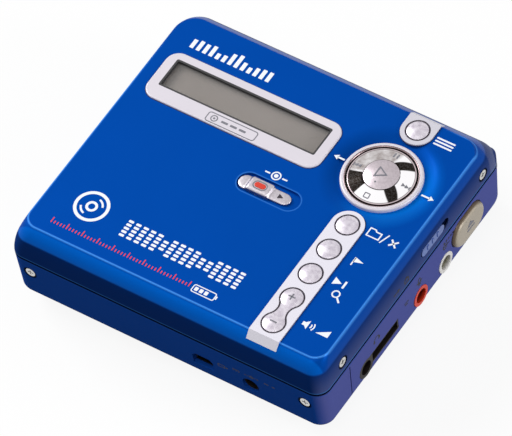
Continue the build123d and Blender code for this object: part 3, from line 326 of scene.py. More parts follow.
finishes = {
    "silver": silver("silver paint", screen(220, 215, 223), screen(210, 204, 213)),
    "strip_silver": silver("silver strip paint", screen(230, 228, 238), screen(220, 217, 228)),
    "plate_silver": silver("silver plate paint", screen(212, 210, 219), screen(200, 197, 207)),
    "button": coated("pearly key", screen(236, 231, 238), screen(170, 160, 176), 0.34, metallic=0.4,
                     coat=0.05, grain=0.14, depth=0.0016, cloud=1.0, contrast=1.3),
    "black": coated("black moulding", screen(40, 40, 43), screen(28, 28, 30), 0.46, grain=0.2,
                    depth=0.006, spread=0.12),
    "socket_dark": coated("dark socket moulding", screen(30, 25, 24), screen(20, 16, 15), 0.5,
                          specular=0.2),
    "red_cap": coated("red plastic", screen(222, 62, 34), screen(196, 40, 22), 0.34, coat=0.05,
                      depth=0.001),
    "mauve": coated("blue grey slider paint", screen(84, 112, 180), screen(68, 94, 160), 0.36,
                    metallic=0.3, coat=0.05),
    "rubber": coated("soft rubber", screen(36, 36, 37), screen(26, 26, 27), 0.72, grain=0.3,
                     depth=0.015, specular=0.3),
    "chip": coated("moulded chip package", screen(44, 44, 46), screen(32, 32, 34), 0.6, grain=0.15,
                   depth=0.008),
}
print(len(finishes), "painted and moulded finishes")

# %% [markdown]
# The coloured rings of two sockets and the open button carry painted shade: their colour darkens below
# their face, into the holes and down the button's sides. The depth below the face, along X, takes one colour
# to the other.


# %% Socket rings and the open button
def shaded_inward(name, colour, shade_colour, face=40.1, reach=0.6, metallic=0.0):
    """Moulded plastic with painted shade: darker as x falls below the height of its face."""
    finish = Finish(name)
    grain = finish.noise(0.25, detail=2.0)
    across, _, _ = finish.axes()
    shade = finish.blend(across.ramp(face - reach, face) * (0.94 + 0.06 * grain), shade_colour, colour)
    return finish.feed(Base_Color=shade, Roughness=0.36 + 0.08 * grain, Metallic=metallic,
                       Specular_IOR_Level=0.25, Normal=finish.relief(grain, 0.002))


# Painted shade below the face of each socket ring and of the open button.
finishes["red"] = shaded_inward("red socket ring", screen(214, 54, 24), screen(120, 26, 10))
finishes["white"] = shaded_inward("white socket ring", screen(228, 226, 224), screen(172, 168, 150))
finishes["beige"] = shaded_inward("warm silver paint", screen(172, 163, 148), screen(104, 90, 74),
                              face=41.35, reach=0.35, metallic=0.3)
print("the rings and the button darken inwards")

# %% [markdown]
# ## The casing's blue
#
# The two blue paints need more than a colour. The ridge round the lid's flat top gets a thin light line
# of painted highlight, the rear slope is glossier than the rest, and painted shade darkens the joint
# between lid and base, the rings round the screws and the slider's groove. Each of these is a mask
# worked out from the point's own place, and the paint is blended through one mask after another.

# %% Casing paint, one layer after another
ridge_left, ridge_right, ridge_front, ridge_back = -37.2, 39.65, -34.65, 30.8
ridge_round = 3.4
ridge_inset, lip_offset, groove_edge = 0.05, 0.12, 0.2
ridge_pen, lip_pen, rim_pen, joint_pen = (0.06, 0.30), (0.04, 0.26), (0.05, 0.22), (0.2, 0.5)
screw_edge, outer_walls, groove_floor = (1.5, 1.85), (30.0, 34.0), (38.0, 38.5)


class CasingPaint(Finish):
    """Blue paint under construction: fine flakes in two shades, then one layer after another.

    A pen is a pair of distances from a line: full paint up to the first, none past the second.
    """

    def __init__(self, name, colour, darker):
        super().__init__(name)
        self.slow, self.flakes = self.noise(16.0, detail=2.0), self.noise(0.10, detail=1.0)
        self.across, self.along, self.height = self.axes()
        self.paint = self.blend(0.3 + 0.4 * self.slow + 0.3 * (self.flakes - 0.5), darker, colour)

    def layer(self, mask, colour):
        """Paints over what is there: fully where the mask is 1, and not where it is 0."""
        self.paint = self.blend(mask, self.paint, colour)

    def ridge(self):
        """1 on the ridge's line: where the distance to a rectangle with round corners is small.

        Fold the plane onto one corner, subtract the straight sides, and measure from the corner.
        """
        across, along, _ = self.axes(((ridge_left + ridge_right) / 2, (ridge_front + ridge_back) / 2, 0.0))
        beyond_x = abs(across) - ((ridge_right - ridge_left) / 2 - ridge_round)
        beyond_y = abs(along) - ((ridge_back - ridge_front) / 2 - ridge_round)
        corner = (beyond_x.above(0.0) ** 2 + beyond_y.above(0.0) ** 2) ** 0.5
        outside = corner + beyond_x.above(beyond_y).below(0.0) - ridge_round
        return abs(outside + ridge_inset).drop(*ridge_pen)

    def lip(self, centre, half_run, round_end):
        """1 on the lip of a recess with round ends: where the distance to its middle line fits."""
        past_run = (abs(self.across - centre[0]) - half_run).above(0.0)
        outside = (past_run**2 + (self.along - centre[1]) ** 2) ** 0.5 - round_end
        return abs(outside - lip_offset).drop(*lip_pen)

    def rim(self, height):
        """1 on a thin level line round the casing."""
        return abs(self.height - height).drop(*rim_pen)

    def joint(self, height=17.2):
        """1 in the joint between lid and base."""
        return abs(self.height - height).drop(*joint_pen)

    def screw_rings(self, sideways, apart, height, outward):
        """1 round the two screws on a wall, as far apart on either side of its middle."""
        reach = ((abs(sideways) - apart) ** 2 + (self.height - height) ** 2) ** 0.5
        return reach.drop(*screw_edge) * outward.ramp(*outer_walls)

    def groove(self, along, height, half_run, half_rise, face):
        """1 on the floor of the slider's groove in the right wall, and 0 on the wall's face."""
        window = abs(self.along - along).drop(half_run, half_run + groove_edge)
        window = window * abs(self.height - height).drop(half_rise, half_rise + groove_edge)
        return window * self.across.ramp(*groove_floor) * self.across.drop(face - 0.4, face - 0.1)

    def paint_shade(self, shade, *gaps):
        """Paints shade over whatever lies in one of the gaps: the largest of their masks counts."""
        mask = gaps[0]
        for gap in gaps[1:]:
            mask = mask.above(gap)
        self.layer(mask * 0.95, shade)

    def ready(self, roughness, coat=0.02, metallic=0.0):
        """Feeds the shader. The gloss comes from the coat alone: the plain specular part is off."""
        return self.feed(Base_Color=self.paint, Roughness=roughness + 0.06 * self.slow, Coat_Weight=coat,
                         Coat_Roughness=0.25, Specular_IOR_Level=0.0, Metallic=metallic,
                         Normal=self.relief(self.flakes, 0.0010))


print("the ridge is", ridge_right - ridge_left, "mm wide")

# %% [markdown]
# The lid is bright on top. Its walls are painted a darker blue as painted shade, the upper band of its
# front wall gets a painted highlight, and low on the right wall there is a greyer painted reflection. The
# dish round the dial glows on its right front side; the dish is shallow, so a part of that glow is a
# painted highlight in its paint, and its far side gets painted shade. The base has one dark blue, a
# greyer painted reflection on the right wall, and a painted highlight along its rim.

# %% The two blues
wall_height, right_sheen_height, shoulder_height = (23.7, 24.4), (18.5, 24.5), (23.9, 24.4)
ridge_height, dish_height, recess_height = (26.3, 26.9), (26.0, 26.5), (27.2, 27.3)
shoulder_front, right_side = (-35.2, -34.8), (37.6, 39.8)
bright_front, bright_right, dish_radius = (8.0, 24.0), (30.0, 38.0), (9.8, 14.2)
glow_side = (0.87, -0.5)

lid_blue = CasingPaint("blue lid paint", screen(0, 71, 164), screen(0, 66, 154))
# The light blue is for painted highlights, and the near-black for painted shade.
highlight_blue, lid_shade_colour = screen(70, 146, 232), screen(0, 8, 32)
# Painted shade: the lid's wall below its upper band is painted a darker blue.
painted_dark_wall = lid_blue.height.drop(*wall_height)
lid_blue.layer(painted_dark_wall, screen(4, 46, 112))
# Painted highlight: a brighter band high on the front wall.
shoulder_highlight = lid_blue.along.drop(*shoulder_front) * lid_blue.height.ramp(*shoulder_height)
lid_blue.layer(shoulder_highlight, screen(0, 92, 192))
# Painted reflection: a greyer sheen low on the right wall.
right_sheen = lid_blue.across.ramp(*right_side) * lid_blue.height.drop(*right_sheen_height)
lid_blue.layer(right_sheen, screen(66, 80, 132))
# Painted highlight: a thin light line along the ridge, on its front and right sides only.
bright_side = lid_blue.along.drop(*bright_front).above(lid_blue.across.ramp(*bright_right))
lid_blue.layer(lid_blue.ridge() * lid_blue.height.ramp(*ridge_height) * bright_side * 0.8, highlight_blue)

dial_x, dial_y, _ = middle("dial_ring")
from_x, from_y = lid_blue.across - dial_x, lid_blue.along - dial_y
radius = (from_x**2 + from_y**2) ** 0.5
dish = radius.drop(*dish_radius) * lid_blue.height.ramp(*dish_height)
toward_glow = (glow_side[0] * from_x + glow_side[1] * from_y) / radius
# Painted highlight on the dish's right front side, and painted shade on its far side.
lid_blue.layer(dish * toward_glow.ramp(0.0, 0.9) * 0.85, screen(0, 108, 204))
lid_blue.layer(dish * (-toward_glow).ramp(0.0, 0.9) * 0.3, lid_shade_colour)

# Painted highlight: a light line round the lip of the slider's recess.
recess_lip_highlight = lid_blue.lip(centre=(5.4, -2.0), half_run=5.2, round_end=2.6)
lid_blue.layer(recess_lip_highlight * lid_blue.height.ramp(*recess_height) * 0.36, highlight_blue)
# Painted highlight: a light line along the lid's lower rim.
lid_blue.layer(lid_blue.rim(17.62) * 0.6, highlight_blue)
# Painted shade in the joint, round the screws and in the slider's groove.
lid_blue.paint_shade(lid_shade_colour, lid_blue.joint(),
              lid_blue.screw_rings(lid_blue.along, apart=28.4, height=20.3, outward=abs(lid_blue.across)),
              lid_blue.groove(along=8.7, height=20.9, half_run=5.7, half_rise=1.35, face=40.5))
rear_slope = lid_blue.along.ramp(ridge_back, ridge_back + 0.6)
finishes["lid_paint"] = lid_blue.ready(0.40, coat=0.02 + 0.30 * rear_slope, metallic=0.3 * (1 - painted_dark_wall))

base_blue = CasingPaint("dark blue base paint", screen(22, 76, 168), screen(15, 67, 153))
# Painted reflection: a greyer sheen on the base's right wall.
base_blue.layer(base_blue.across.ramp(*right_side), screen(84, 92, 160))
# Painted highlight: a light line along the base's rim.
base_blue.layer(base_blue.rim(16.55) * 0.6, screen(30, 84, 178))
# Painted shade in the joint and round the screws.
base_blue.paint_shade(screen(0, 6, 24), base_blue.joint(),
               base_blue.screw_rings(base_blue.across, apart=35.5, height=12.7, outward=-base_blue.along))
finishes["base_paint"] = base_blue.ready(0.44)
print("two blues, of", len(lid_blue.tree.nodes), "and", len(base_blue.tree.nodes), "nodes")

# %% [markdown]
# ## Bare metal
#
# Rolled sheet shows fine lines along the rolling direction: the same noise, stretched fifty times
# along one axis. A casting has no direction, but a coarser, mottled skin. Turned brass and plated
# contacts are smoother. Each of these is one call with its own stretch and size.


# %% Metals
def metal(name, colour, darker, roughness, size, stretch=(1.0, 1.0, 1.0), depth=0.002, spread=0.12):
    """Bare metal: stretched noise draws the lines of its making in colour, gloss and relief."""
    finish = Finish(name)
    lines = finish.noise(size, detail=4.0, stretch=stretch)
    stain = finish.noise(12.0, detail=2.0)
    shade = finish.blend(0.2 + 0.6 * lines + 0.3 * (stain - 0.5), darker, colour)
    return finish.feed(Base_Color=shade, Metallic=1.0, Roughness=roughness - spread / 2 + spread * lines,
                       Normal=finish.relief(lines, depth))


finishes["steel"] = metal("rolled sheet steel", screen(198, 199, 202), screen(158, 160, 165), 0.34,
                          0.35, stretch=(0.02, 1.0, 1.0))
finishes["screw"] = metal("zinc screw", screen(225, 224, 222), screen(172, 172, 170), 0.28, 0.25)
finishes["tin"] = metal("plated contact", screen(226, 224, 218), screen(186, 184, 178), 0.2, 0.8)
finishes["magnesium"] = metal("cast frame metal", screen(186, 188, 190), screen(140, 142, 146), 0.5, 0.9,
                              depth=0.02, spread=0.2)
finishes["brass"] = metal("turned brass", screen(214, 178, 104), screen(170, 132, 66), 0.26, 0.2,
                          stretch=(6.0, 1.0, 1.0))
finishes["trim"] = metal("polished trim", screen(150, 132, 134), screen(104, 88, 90), 0.24, 0.5,
                         spread=0.06)
finishes["slider_metal"] = metal("satin slider metal", screen(214, 208, 214), screen(136, 128, 136), 0.34,
                                 0.5, depth=0.006, spread=0.1)
finishes["enter_metal"] = metal("satin middle key", screen(212, 203, 208), screen(150, 138, 144), 0.34,
                                0.5, depth=0.003, spread=0.1)
# Painted shade: the data socket's metal is made dark to stand for the shade in it.
finishes["shaded_socket_metal"] = metal("dark socket metal", screen(66, 64, 66), screen(40, 38, 40), 0.4, 0.5)
print(len(finishes), "finishes so far")

# %% [markdown]
# ## The polished dial
#
# The four-way disc is spun metal: its turning lines run round it, so it throws light back in sectors
# that are light and dark by turns. Here those sectors are painted reflections: the angle round the
# dial's middle, from the point's own place, drives three dark sectors in the colour, and fine rings round
# the middle give the turning lines. The part towards the back left gets a clouded grey painted
# reflection. At the edge come a dark line, a light lip of painted highlight, and the dark side of the
# disc, which is painted shade.

# %% Spun metal for the dial
dial_centre = middle("dial_disc")
dial_centre[2] = 0.0
line_from, line_to, lip_from, side_from = 7.16, 7.32, 7.34, 7.54
soft = 0.06


def spun(name, sectors, ring_pitch=0.16):
    """Polished metal with dark sectors of painted reflection, crossed by fine turning lines.

    A sector is given by its middle at the inner and at the outer radius, in degrees, and then by half
    its width at both. Between the two radii it changes in a straight line.
    """
    finish = Finish(name)
    across, along, _ = finish.axes(dial_centre)
    angle = finish.node("ShaderNodeMath", {"operation": "ARCTAN2"}, {0: along, 1: across}) * (180 / pi)
    radius = (across * across + along * along) ** 0.5
    outward = radius.ramp(4.2, 7.4)
    speckle = finish.noise(0.35, detail=3.0)
    # Painted reflections: three dark sectors, by the angle round the middle.
    dark = 0.0
    for middle_in, middle_out, half_in, half_out in sectors:
        aside = abs(angle - (middle_in + (middle_out - middle_in) * outward))
        dark = (aside - (half_in + (half_out - half_in) * outward)).drop(-1.0, 1.6).above(dark)
    # A painted grey reflection, clouded, on the back left.
    facing = finish.node("ShaderNodeMath", {"operation": "COSINE"}, {0: (angle - 137.0) * (pi / 180)})
    cloudy = facing.ramp(0.50, 0.62) * (0.55 + 1.2 * (finish.noise(1.6, detail=2.0) - 0.4))
    shade = finish.blend(cloudy, screen(252, 250, 252), screen(142, 130, 127))
    shade = finish.blend(dark * (0.985 + 0.12 * (speckle - 0.5)), shade, screen(26, 20, 15))
    line_mask = radius.ramp(line_from, line_from + soft) * radius.drop(line_to, line_to + soft)
    shade = finish.blend(line_mask * 0.8, shade, screen(60, 46, 48))
    # A painted highlight on the lip, and painted shade on the disc's side.
    shade = finish.blend(radius.ramp(lip_from, lip_from + soft), shade, screen(206, 190, 194))
    shade = finish.blend(radius.ramp(side_from, side_from + soft), shade, screen(24, 18, 18))
    rings = finish.node("ShaderNodeMath", {"operation": "SINE"}, {0: radius * (2 * pi / ring_pitch)})
    return finish.feed(Base_Color=shade, Metallic=1.0, Roughness=0.14 + 0.06 * speckle,
                       Normal=finish.relief(0.5 + 0.5 * rings, 0.0004))


finishes["polished"] = spun("spun metal dial", [(-140.0, -140.0, 22.0, 26.0), (-33.0, -38.5, 18.0, 8.0),
                                                (62.0, 47.0, 17.0, 9.0)])
print("the dial's sectors turn round", dial_centre[:2].round(1))

# %% [markdown]
# ## Display, window, board and lens
#
# The panel behind the window is off: a warm grey with the faint grid of its dots. The window is a
# clear cover, so it hardly colours what lies below. Green boards get their copper traces from a
# brick pattern under the mask, and the coated lens is a bluish glass.


# %% The display panel and its cover
def bricks(finish, width, height, joint, offset=0.0, smooth=0.1):
    """1 in the joints of a pattern of bricks, and 0 on the bricks."""
    return finish.node("ShaderNodeTexBrick", {"offset": offset},
                       {"Vector": finish.millimetres(), "Scale": 1.0, "Mortar Size": joint,
                        "Mortar Smooth": smooth, "Brick Width": width, "Row Height": height},
                       result="Fac")


def panel(name):
    """A switched-off display: warm grey, with a grid of dots half a millimetre apart."""
    finish = Finish(name)
    dots = bricks(finish, 0.5, 0.5, 0.05, smooth=0.3)
    tint = finish.noise(14.0, detail=1.0)
    ground = finish.blend(tint, screen(127, 117, 110), screen(141, 131, 125))
    shade = finish.blend(0.22 * dots, ground, screen(104, 100, 92))
    return finish.feed(Base_Color=shade, Roughness=0.3 + 0.1 * tint, Specular_IOR_Level=0.3,
                       Normal=finish.relief(dots, 0.004))


def cover(name, tint, alpha, roughness=0.06):
    """A clear cover: nearly see-through, a little more where it has been wiped."""
    finish = Finish(name)
    wipe = finish.noise(5.0, detail=2.0, stretch=(0.3, 1.0, 1.0))
    shade = finish.blend(wipe, tint, screen(240, 242, 244))
    return finish.feed(Base_Color=shade, Roughness=roughness + 0.06 * wipe, Alpha=alpha + 0.04 * wipe,
                       Specular_IOR_Level=0.6, IOR=1.49)


def circuit(name):
    """A green board: rows of bricks stand for copper areas, and the joints between them for gaps."""
    finish = Finish(name)
    gaps = bricks(finish, 5.2, 0.9, 0.14, offset=0.5) * (finish.noise(7.0, detail=1.0) > 0.5)
    weave = finish.noise(0.3, detail=1.0)
    mask = finish.blend(gaps, screen(22, 98, 58), screen(12, 66, 38))
    shade = finish.blend(0.3 * weave, mask, screen(34, 112, 66))
    return finish.feed(Base_Color=shade, Roughness=0.34 + 0.1 * weave, Coat_Weight=0.2,
                       Normal=finish.relief(1 - gaps, 0.02))


finishes["lcd"] = panel("switched off panel")
finishes["window"] = cover("clear window", screen(226, 230, 230), 0.10)
finishes["lens"] = cover("coated lens", screen(96, 120, 190), 0.80, roughness=0.03)
finishes["board"] = circuit("green circuit board")

# %% [markdown]
# Every solid knows its slot from the imported record, so one loop dresses them all. A few of them have a
# finish of their own, finer than their slot's.

# %% Dress the solids
# The data socket's dark metal is painted shade.
special = {"button_strip": "strip_silver", "menu_plate": "plate_silver", "rec_slider": "slider_metal",
           "enter_button": "enter_metal", "rec_inset": "red_cap", "usb_socket": "shaded_socket_metal",
           "dc_jack": "socket_dark", "headphone_socket": "socket_dark"}
for entry in frame["record"]["subparts"]:
    mesh = frame["nodes"][entry["node"]].data
    mesh.materials.clear()
    mesh.materials.append(finishes[special.get(entry["node"], entry["material_slot"])])

# %% [markdown]
# ## Printing
#
# What is printed on the real casing is ink a few hundredths of a millimetre thick. Each mark here is
# a real thin solid, so that it also shows in a mesh with no materials. A line is a small rectangle
# carried along a path; a filled shape is its outline between two heights. Both are first drawn flat,
# as across, along and height, and a surface then says where those three lie on the casing.

# %% Lines
ink = 0.03
sunk = 0.02


def loft_faces(rings, around, closed):
    """Quads between successive rings of corners, for any number of rings at once."""
    here = np.arange(rings if closed else rings - 1)[:, None]
    corner = np.arange(around)[None, :]
    beside = (corner + 1) % around
    after = (here + 1) % rings
    quads = np.stack([here * around + corner, after * around + corner,
                      after * around + beside, here * around + beside], axis=-1)
    return quads.reshape(-1, 4).tolist()


def capped_loft(rings, around):
    """The same for a rod: its first and its last ring close it."""
    last = (rings - 1) * around
    return loft_faces(rings, around, False) + [list(range(around)),
                                               list(range(last + around - 1, last - 1, -1))]


def line(path, width, closed=False, rise=ink):
    """A rectangle carried along a path: at each point it is set across the mean of both directions."""
    path = np.array(path, float)
    ahead = np.roll(path, -1, axis=0) - path
    behind = path - np.roll(path, 1, axis=0)
    if not closed:
        ahead[-1], behind[0] = behind[-1], ahead[0]
    ahead /= np.linalg.norm(ahead, axis=1, keepdims=True)
    behind /= np.linalg.norm(behind, axis=1, keepdims=True)
    normal = np.stack([-ahead[:, 1] - behind[:, 1], ahead[:, 0] + behind[:, 0]], axis=1)
    reach = normal * width / (1 + np.sum(ahead * behind, axis=1, keepdims=True)) / 2
    flat = np.stack([path - reach, path - reach, path + reach, path + reach], axis=1)
    height = np.broadcast_to(np.array([-sunk, rise, rise, -sunk])[None, :, None], flat.shape[:2] + (1,))
    points = np.concatenate([flat, height], axis=2).reshape(-1, 3)
    return points, loft_faces(len(path), 4, True) if closed else capped_loft(len(path), 4)


def fine(path, closed=False, step=0.2):
    """The same path with points no further apart than a step, so that it can follow a curved surface."""
    path = np.array(path, float)
    ends = np.roll(path, -1, axis=0) if closed else path[1:]
    made = []
    for start, end in zip(path, ends):
        parts = max(1, int(np.ceil(np.linalg.norm(end - start) / step)))
        made.append(start + (end - start) * (np.arange(parts) / parts)[:, None])
    return np.concatenate(made if closed else made + [path[-1:]])


print("ink is", ink, "mm thick")

# %% [markdown]
# Filled shapes and the usual outlines come next: arcs, circles, and rectangles with round corners.


# %% Filled shapes and outlines
def patch(outline, rise=ink):
    """A filled outline between two heights, its corners taken anticlockwise."""
    outline = np.array(outline, float)
    after = np.roll(outline, -1, axis=0)
    area = np.sum(outline[:, 0] * after[:, 1] - after[:, 0] * outline[:, 1])
    outline = outline if area > 0 else outline[::-1]
    count = len(outline)
    points = np.concatenate([np.column_stack([outline, np.full(count, -sunk)]),
                             np.column_stack([outline, np.full(count, rise)])])
    side = np.arange(count)
    beside = (side + 1) % count
    walls = np.stack([side, beside, beside + count, side + count], axis=1).tolist()
    return points, walls + [list(range(count, 2 * count)), list(range(count - 1, -1, -1))]


def arc(across, along, radius, start, end, count=24):
    """Points of an arc about a centre, between two angles in degrees."""
    angle = np.radians(np.linspace(start, end, count))
    return np.column_stack([across + radius * np.cos(angle), along + radius * np.sin(angle)])


def circle(across, along, radius, count=32):
    """Points of a full circle, without its first point twice."""
    return arc(across, along, radius, 0, 360 * (count - 1) / count, count)


def rounded(across, along, width, height, radius, count=6):
    """Points of a rectangle with round corners: four quarter arcs, one after the other."""
    corners = [(1, -1, -90), (1, 1, 0), (-1, 1, 90), (-1, -1, 180)]
    arcs = [arc(across + right * (width / 2 - radius), along + up * (height / 2 - radius), radius,
                start, start + 90, count) for right, up, start in corners]
    return np.concatenate(arcs)


def bar(across, along, width, height, radius=0.12):
    """A filled rectangle with slightly round corners."""
    return patch(rounded(across, along, width, height, radius, count=4))


def ring(across, along, radius, pen, count=32):
    """A drawn circle."""
    return line(circle(across, along, radius, count), pen, closed=True)


def frame_line(across, along, width, height, radius, pen, **more):
    """A drawn rectangle with round corners."""
    return line(rounded(across, along, width, height, radius), pen, closed=True, **more)


print("a bar has", len(bar(0, 0, 1, 1)[0]), "corners")

# %% [markdown]
# A surface is a function that takes points drawn flat and gives their place on the casing. There are
# only a few: the flat top and whatever lies level on it, the upright and the leaning walls, the cone
# of the dial and the domes of the keys.


# %% Surfaces to print on
def level(height):
    """A level surface: across is x, along is y."""
    return lambda flat: flat + [0.0, 0.0, height]


def right_wall(face, lean=0.0, foot=0.0):
    """The right wall: across runs back along y, along is z. It draws in below `foot` as it leans."""
    def where(flat):
        inward = (foot - flat[:, 1]) * lean
        return np.column_stack([face - inward + flat[:, 2], flat[:, 0], flat[:, 1]])
    return where


def front_wall(face, lean=0.0, foot=0.0):
    """The front wall: across is x, along is z, and the height of a mark points at the viewer."""
    def where(flat):
        inward = (foot - flat[:, 1]) * lean
        return np.column_stack([flat[:, 0], face + inward - flat[:, 2], flat[:, 1]])
    return where


def dome(centre, crown, chord, rise):
    """A spherical cap: its height falls from the crown by the curve of its ball.

    The ball's radius follows from half the chord and the rise: (chord^2 + rise^2) / (2 rise).
    """
    ball = (chord**2 + rise**2) / (2 * rise)

    def where(flat):
        spread = np.hypot(flat[:, 0], flat[:, 1])
        fall = ball - np.sqrt(ball**2 - spread**2)
        return np.column_stack([flat[:, 0] + centre[0], flat[:, 1] + centre[1], crown - fall + flat[:, 2]])
    return where


def cone(centre, inner, inner_height, outer, outer_height):
    """A shallow cone: its height falls in a straight line from the inner to the outer radius."""
    def where(flat):
        share = (np.hypot(flat[:, 0], flat[:, 1]) - inner) / (outer - inner)
        height = inner_height + share * (outer_height - inner_height)
        return np.column_stack([flat[:, 0] + centre[0], flat[:, 1] + centre[1], height + flat[:, 2]])
    return where


lean = tan(radians(2.0))
base_rim = 17.0
screw_sink = 0.1
lid_top = level(27.4)
lid_wall = right_wall(high("lid_screws")[0] + screw_sink)
base_side = right_wall(40.5, lean, base_rim)
base_front = front_wall(-37.2, lean, base_rim)
print("the base's walls lean", round(degrees(atan2(lean, 1)), 1), "degrees")

# %% [markdown]
# Many flat shapes together make one piece. Each piece is a mesh whose place is in its own points, and
# it rides on the body that it is printed on.


# %% Turn shapes into a piece
def moved(shape, across=0.0, along=0.0, turned=0.0):
    """A shape turned by an angle in degrees and moved in its own flat plane."""
    points, faces = shape
    cosine, sine = cos(radians(turned)), sin(radians(turned))
    flat = np.column_stack([points[:, 0] * cosine - points[:, 1] * sine + across,
                            points[:, 0] * sine + points[:, 1] * cosine + along, points[:, 2]])
    return flat, faces


def placed(shapes, across, along, turned=0.0):
    """Several shapes moved together."""
    return [moved(shape, across, along, turned) for shape in shapes]


def solid(name, points, faces, finish, body, smooth=False):
    """A mesh object at the origin, with its place in its mesh, that rides on a body."""
    mesh = bpy.data.meshes.new(name)
    mesh.from_pydata((np.array(points) * MM).tolist(), [], faces)
    mesh.polygons.foreach_set("use_smooth", [smooth] * len(mesh.polygons))
    mesh.materials.append(finish)
    mesh.update()
    made = bpy.data.objects.new(name, mesh)
    bpy.context.scene.collection.objects.link(made)
    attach(made, body)
    return made


def printed(name, shapes, surface, finish, body):
    """One piece from many flat shapes, laid on a surface."""
    points, faces, start = [], [], 0
    for shape_points, shape_faces in shapes:
        points.append(surface(shape_points))
        faces += [[corner + start for corner in face] for face in shape_faces]
        start += len(shape_points)
    made = solid(name, np.concatenate(points), faces, finish, body)
    print(name, "has", len(shapes), "shapes and", len(faces), "faces")
    return made


# %% [markdown]
# Inks are flatter than paint, and where they are rubbed the ground shows through a little.


# %% Inks
def inked(name, colour, ground):
    """Screen-printed ink, rubbed thin in small spots."""
    finish = Finish(name)
    rub = finish.noise(0.7, detail=3.0)
    thin = 0.35 * rub.ramp(0.62, 0.8)
    return finish.feed(Base_Color=finish.blend(thin, colour, ground), Roughness=0.5 + 0.1 * rub,
                       Specular_IOR_Level=0.3)


white_ink = inked("white ink", screen(240, 243, 248), screen(150, 175, 225))
red_ink = inked("red ink", screen(226, 62, 78), screen(120, 50, 120))
navy_ink = inked("navy ink", screen(5, 8, 34), screen(20, 28, 76))
grey_ink = inked("grey ink", screen(120, 120, 128), screen(160, 158, 164))
# Dark ink for the painted shade in the keys' gaps, and for the slider's printed arrow.
gap_shade_and_arrow_ink = inked("dark gap", screen(46, 38, 48), screen(70, 62, 72))
# Dark blue ink for the painted shade round the silver parts.
seam_shade_ink = inked("seam", screen(4, 18, 64), screen(6, 30, 90))
print("four inks, and two for gaps and seams")

# %% [markdown]
# ## What is printed on the lid
#
# The lid's prints are white, with a little red. Plain ornaments stand near its back and front edges: a
# row of level bars, a disc, and a field of dots that swells and falls like music. Each key has a sign
# that players have in common, drawn with a few lines and filled shapes.


# %% Signs
def arrow(length, head=1.1, width=0.42):
    """An arrow to the left, its tip at the origin."""
    return [patch([(0, 0), (head, head * 0.62), (head, -head * 0.62)]),
            line([(head * 0.9, 0), (length, 0)], width)]


def triangle(size):
    """A play sign that points right, about its middle."""
    return patch([(-size * 0.4, -size * 0.5), (size * 0.6, 0), (-size * 0.4, size * 0.5)])


def folder(width, height, pen=0.3):
    """The outline of a folder: a box with a tab."""
    w, h = width / 2, height / 2
    return [line([(-w, -h), (w, -h), (w, h * 0.6), (w * 0.1, h * 0.6), (-w * 0.15, h), (-w, h)], pen,
                 closed=True)]


def cross(size, pen=0.4):
    """Two strokes that cross."""
    s = size / 2
    return [line([(-s, -s), (s, s)], pen), line([(-s, s), (s, -s)], pen)]


def flag(size, pen=0.32):
    """A pole with a pennant."""
    return [line([(-size / 2, -size / 2), (-size / 2, size / 2)], pen),
            patch([(-size / 2, size / 2), (size / 2, size * 0.2), (-size / 2, -size * 0.1)])]


def magnifier(size, pen=0.32):
    """A ring with a handle down to the right."""
    return [ring(-size * 0.12, size * 0.12, size * 0.3, pen),
            line([(size * 0.12, -size * 0.12), (size * 0.5, -size * 0.5)], pen * 1.3)]


def loudspeaker(size, pen=0.3):
    """A small horn with two arcs of sound."""
    horn = [(-0.6, -0.18), (-0.35, -0.18), (-0.05, -0.45), (-0.05, 0.45), (-0.35, 0.18), (-0.6, 0.18)]
    return [patch(np.array(horn) * size)] + [line(arc(-size * 0.05, 0, size * reach, -38, 38, 10), pen)
                                             for reach in (0.3, 0.55)]


def wedge(width, height):
    """A volume wedge that rises to the right."""
    return [patch([(-width / 2, -height / 2), (width / 2, -height / 2), (width / 2, height / 2)])]


print("the signs are drawn in millimetres about their own middle")

# %% [markdown]
# The signs stand beside what they name: two arrows at the dial, three bars at the menu key, a record
# sign over the slider, and along the silver strip a folder, a flag, a search sign and a loudspeaker.

# %% Marks beside the dial and the keys
menu_y, group_y, mark_y, search_y, rocker_y = (
    middle(node)[1] for node in ("menu_button", "group_button", "mark_button", "search_button",
                                 "volume_rocker"))
record_x, record_y = middle("rec_slider")[0] + 0.2, middle("rec_slider")[1] + 4.3

record_sign = [patch(circle(0, 0, 0.5)), ring(0, 0, 1.0, 0.32)]
record_sign += [bar(side * 2.2, 0, 1.3, 0.38) for side in (-1, 1)]
menu_bars = [bar(0, row, 4.6, 0.42) for row in (-0.85, 0.0, 0.85)]
slash = [line([(-0.5, -1.35), (0.5, 1.35)], 0.3)]
sign_places = [
    (menu_bars, 32.0, menu_y - 0.2),
    (record_sign, record_x, record_y),
    (folder(3.0, 2.1), 31.6, group_y + 1.0),
    (cross(1.7), 36.6, group_y + 0.7),
    (slash, 34.2, group_y + 0.85),
    (flag(2.3), 32.6, mark_y + 0.05),
    ([triangle(2.0)], 31.3, search_y + 1.1),
    ([bar(0, 0, 0.5, 2.0)], 33.2, search_y + 1.1),
    (magnifier(2.8), 33.2, search_y - 2.1),
    (loudspeaker(2.6), 32.2, rocker_y - 0.475),
    (wedge(3.0, 1.8), 35.9, rocker_y - 0.475),
]
lid_signs = placed(arrow(2.7), dial_x - 12.2, dial_y)
lid_signs += placed(arrow(3.1), dial_x + 13.2, dial_y, turned=180)
for shapes, across, along in sign_places:
    lid_signs += placed(shapes, across, along)
printed("lid_signs", lid_signs, lid_top, white_ink, "lid")

# %% [markdown]
# The ornaments come from formulas: the level bars follow two sine curves, and so does the number of
# dots in each column of the field below. A disc with its hub and two sheens stands beside them.

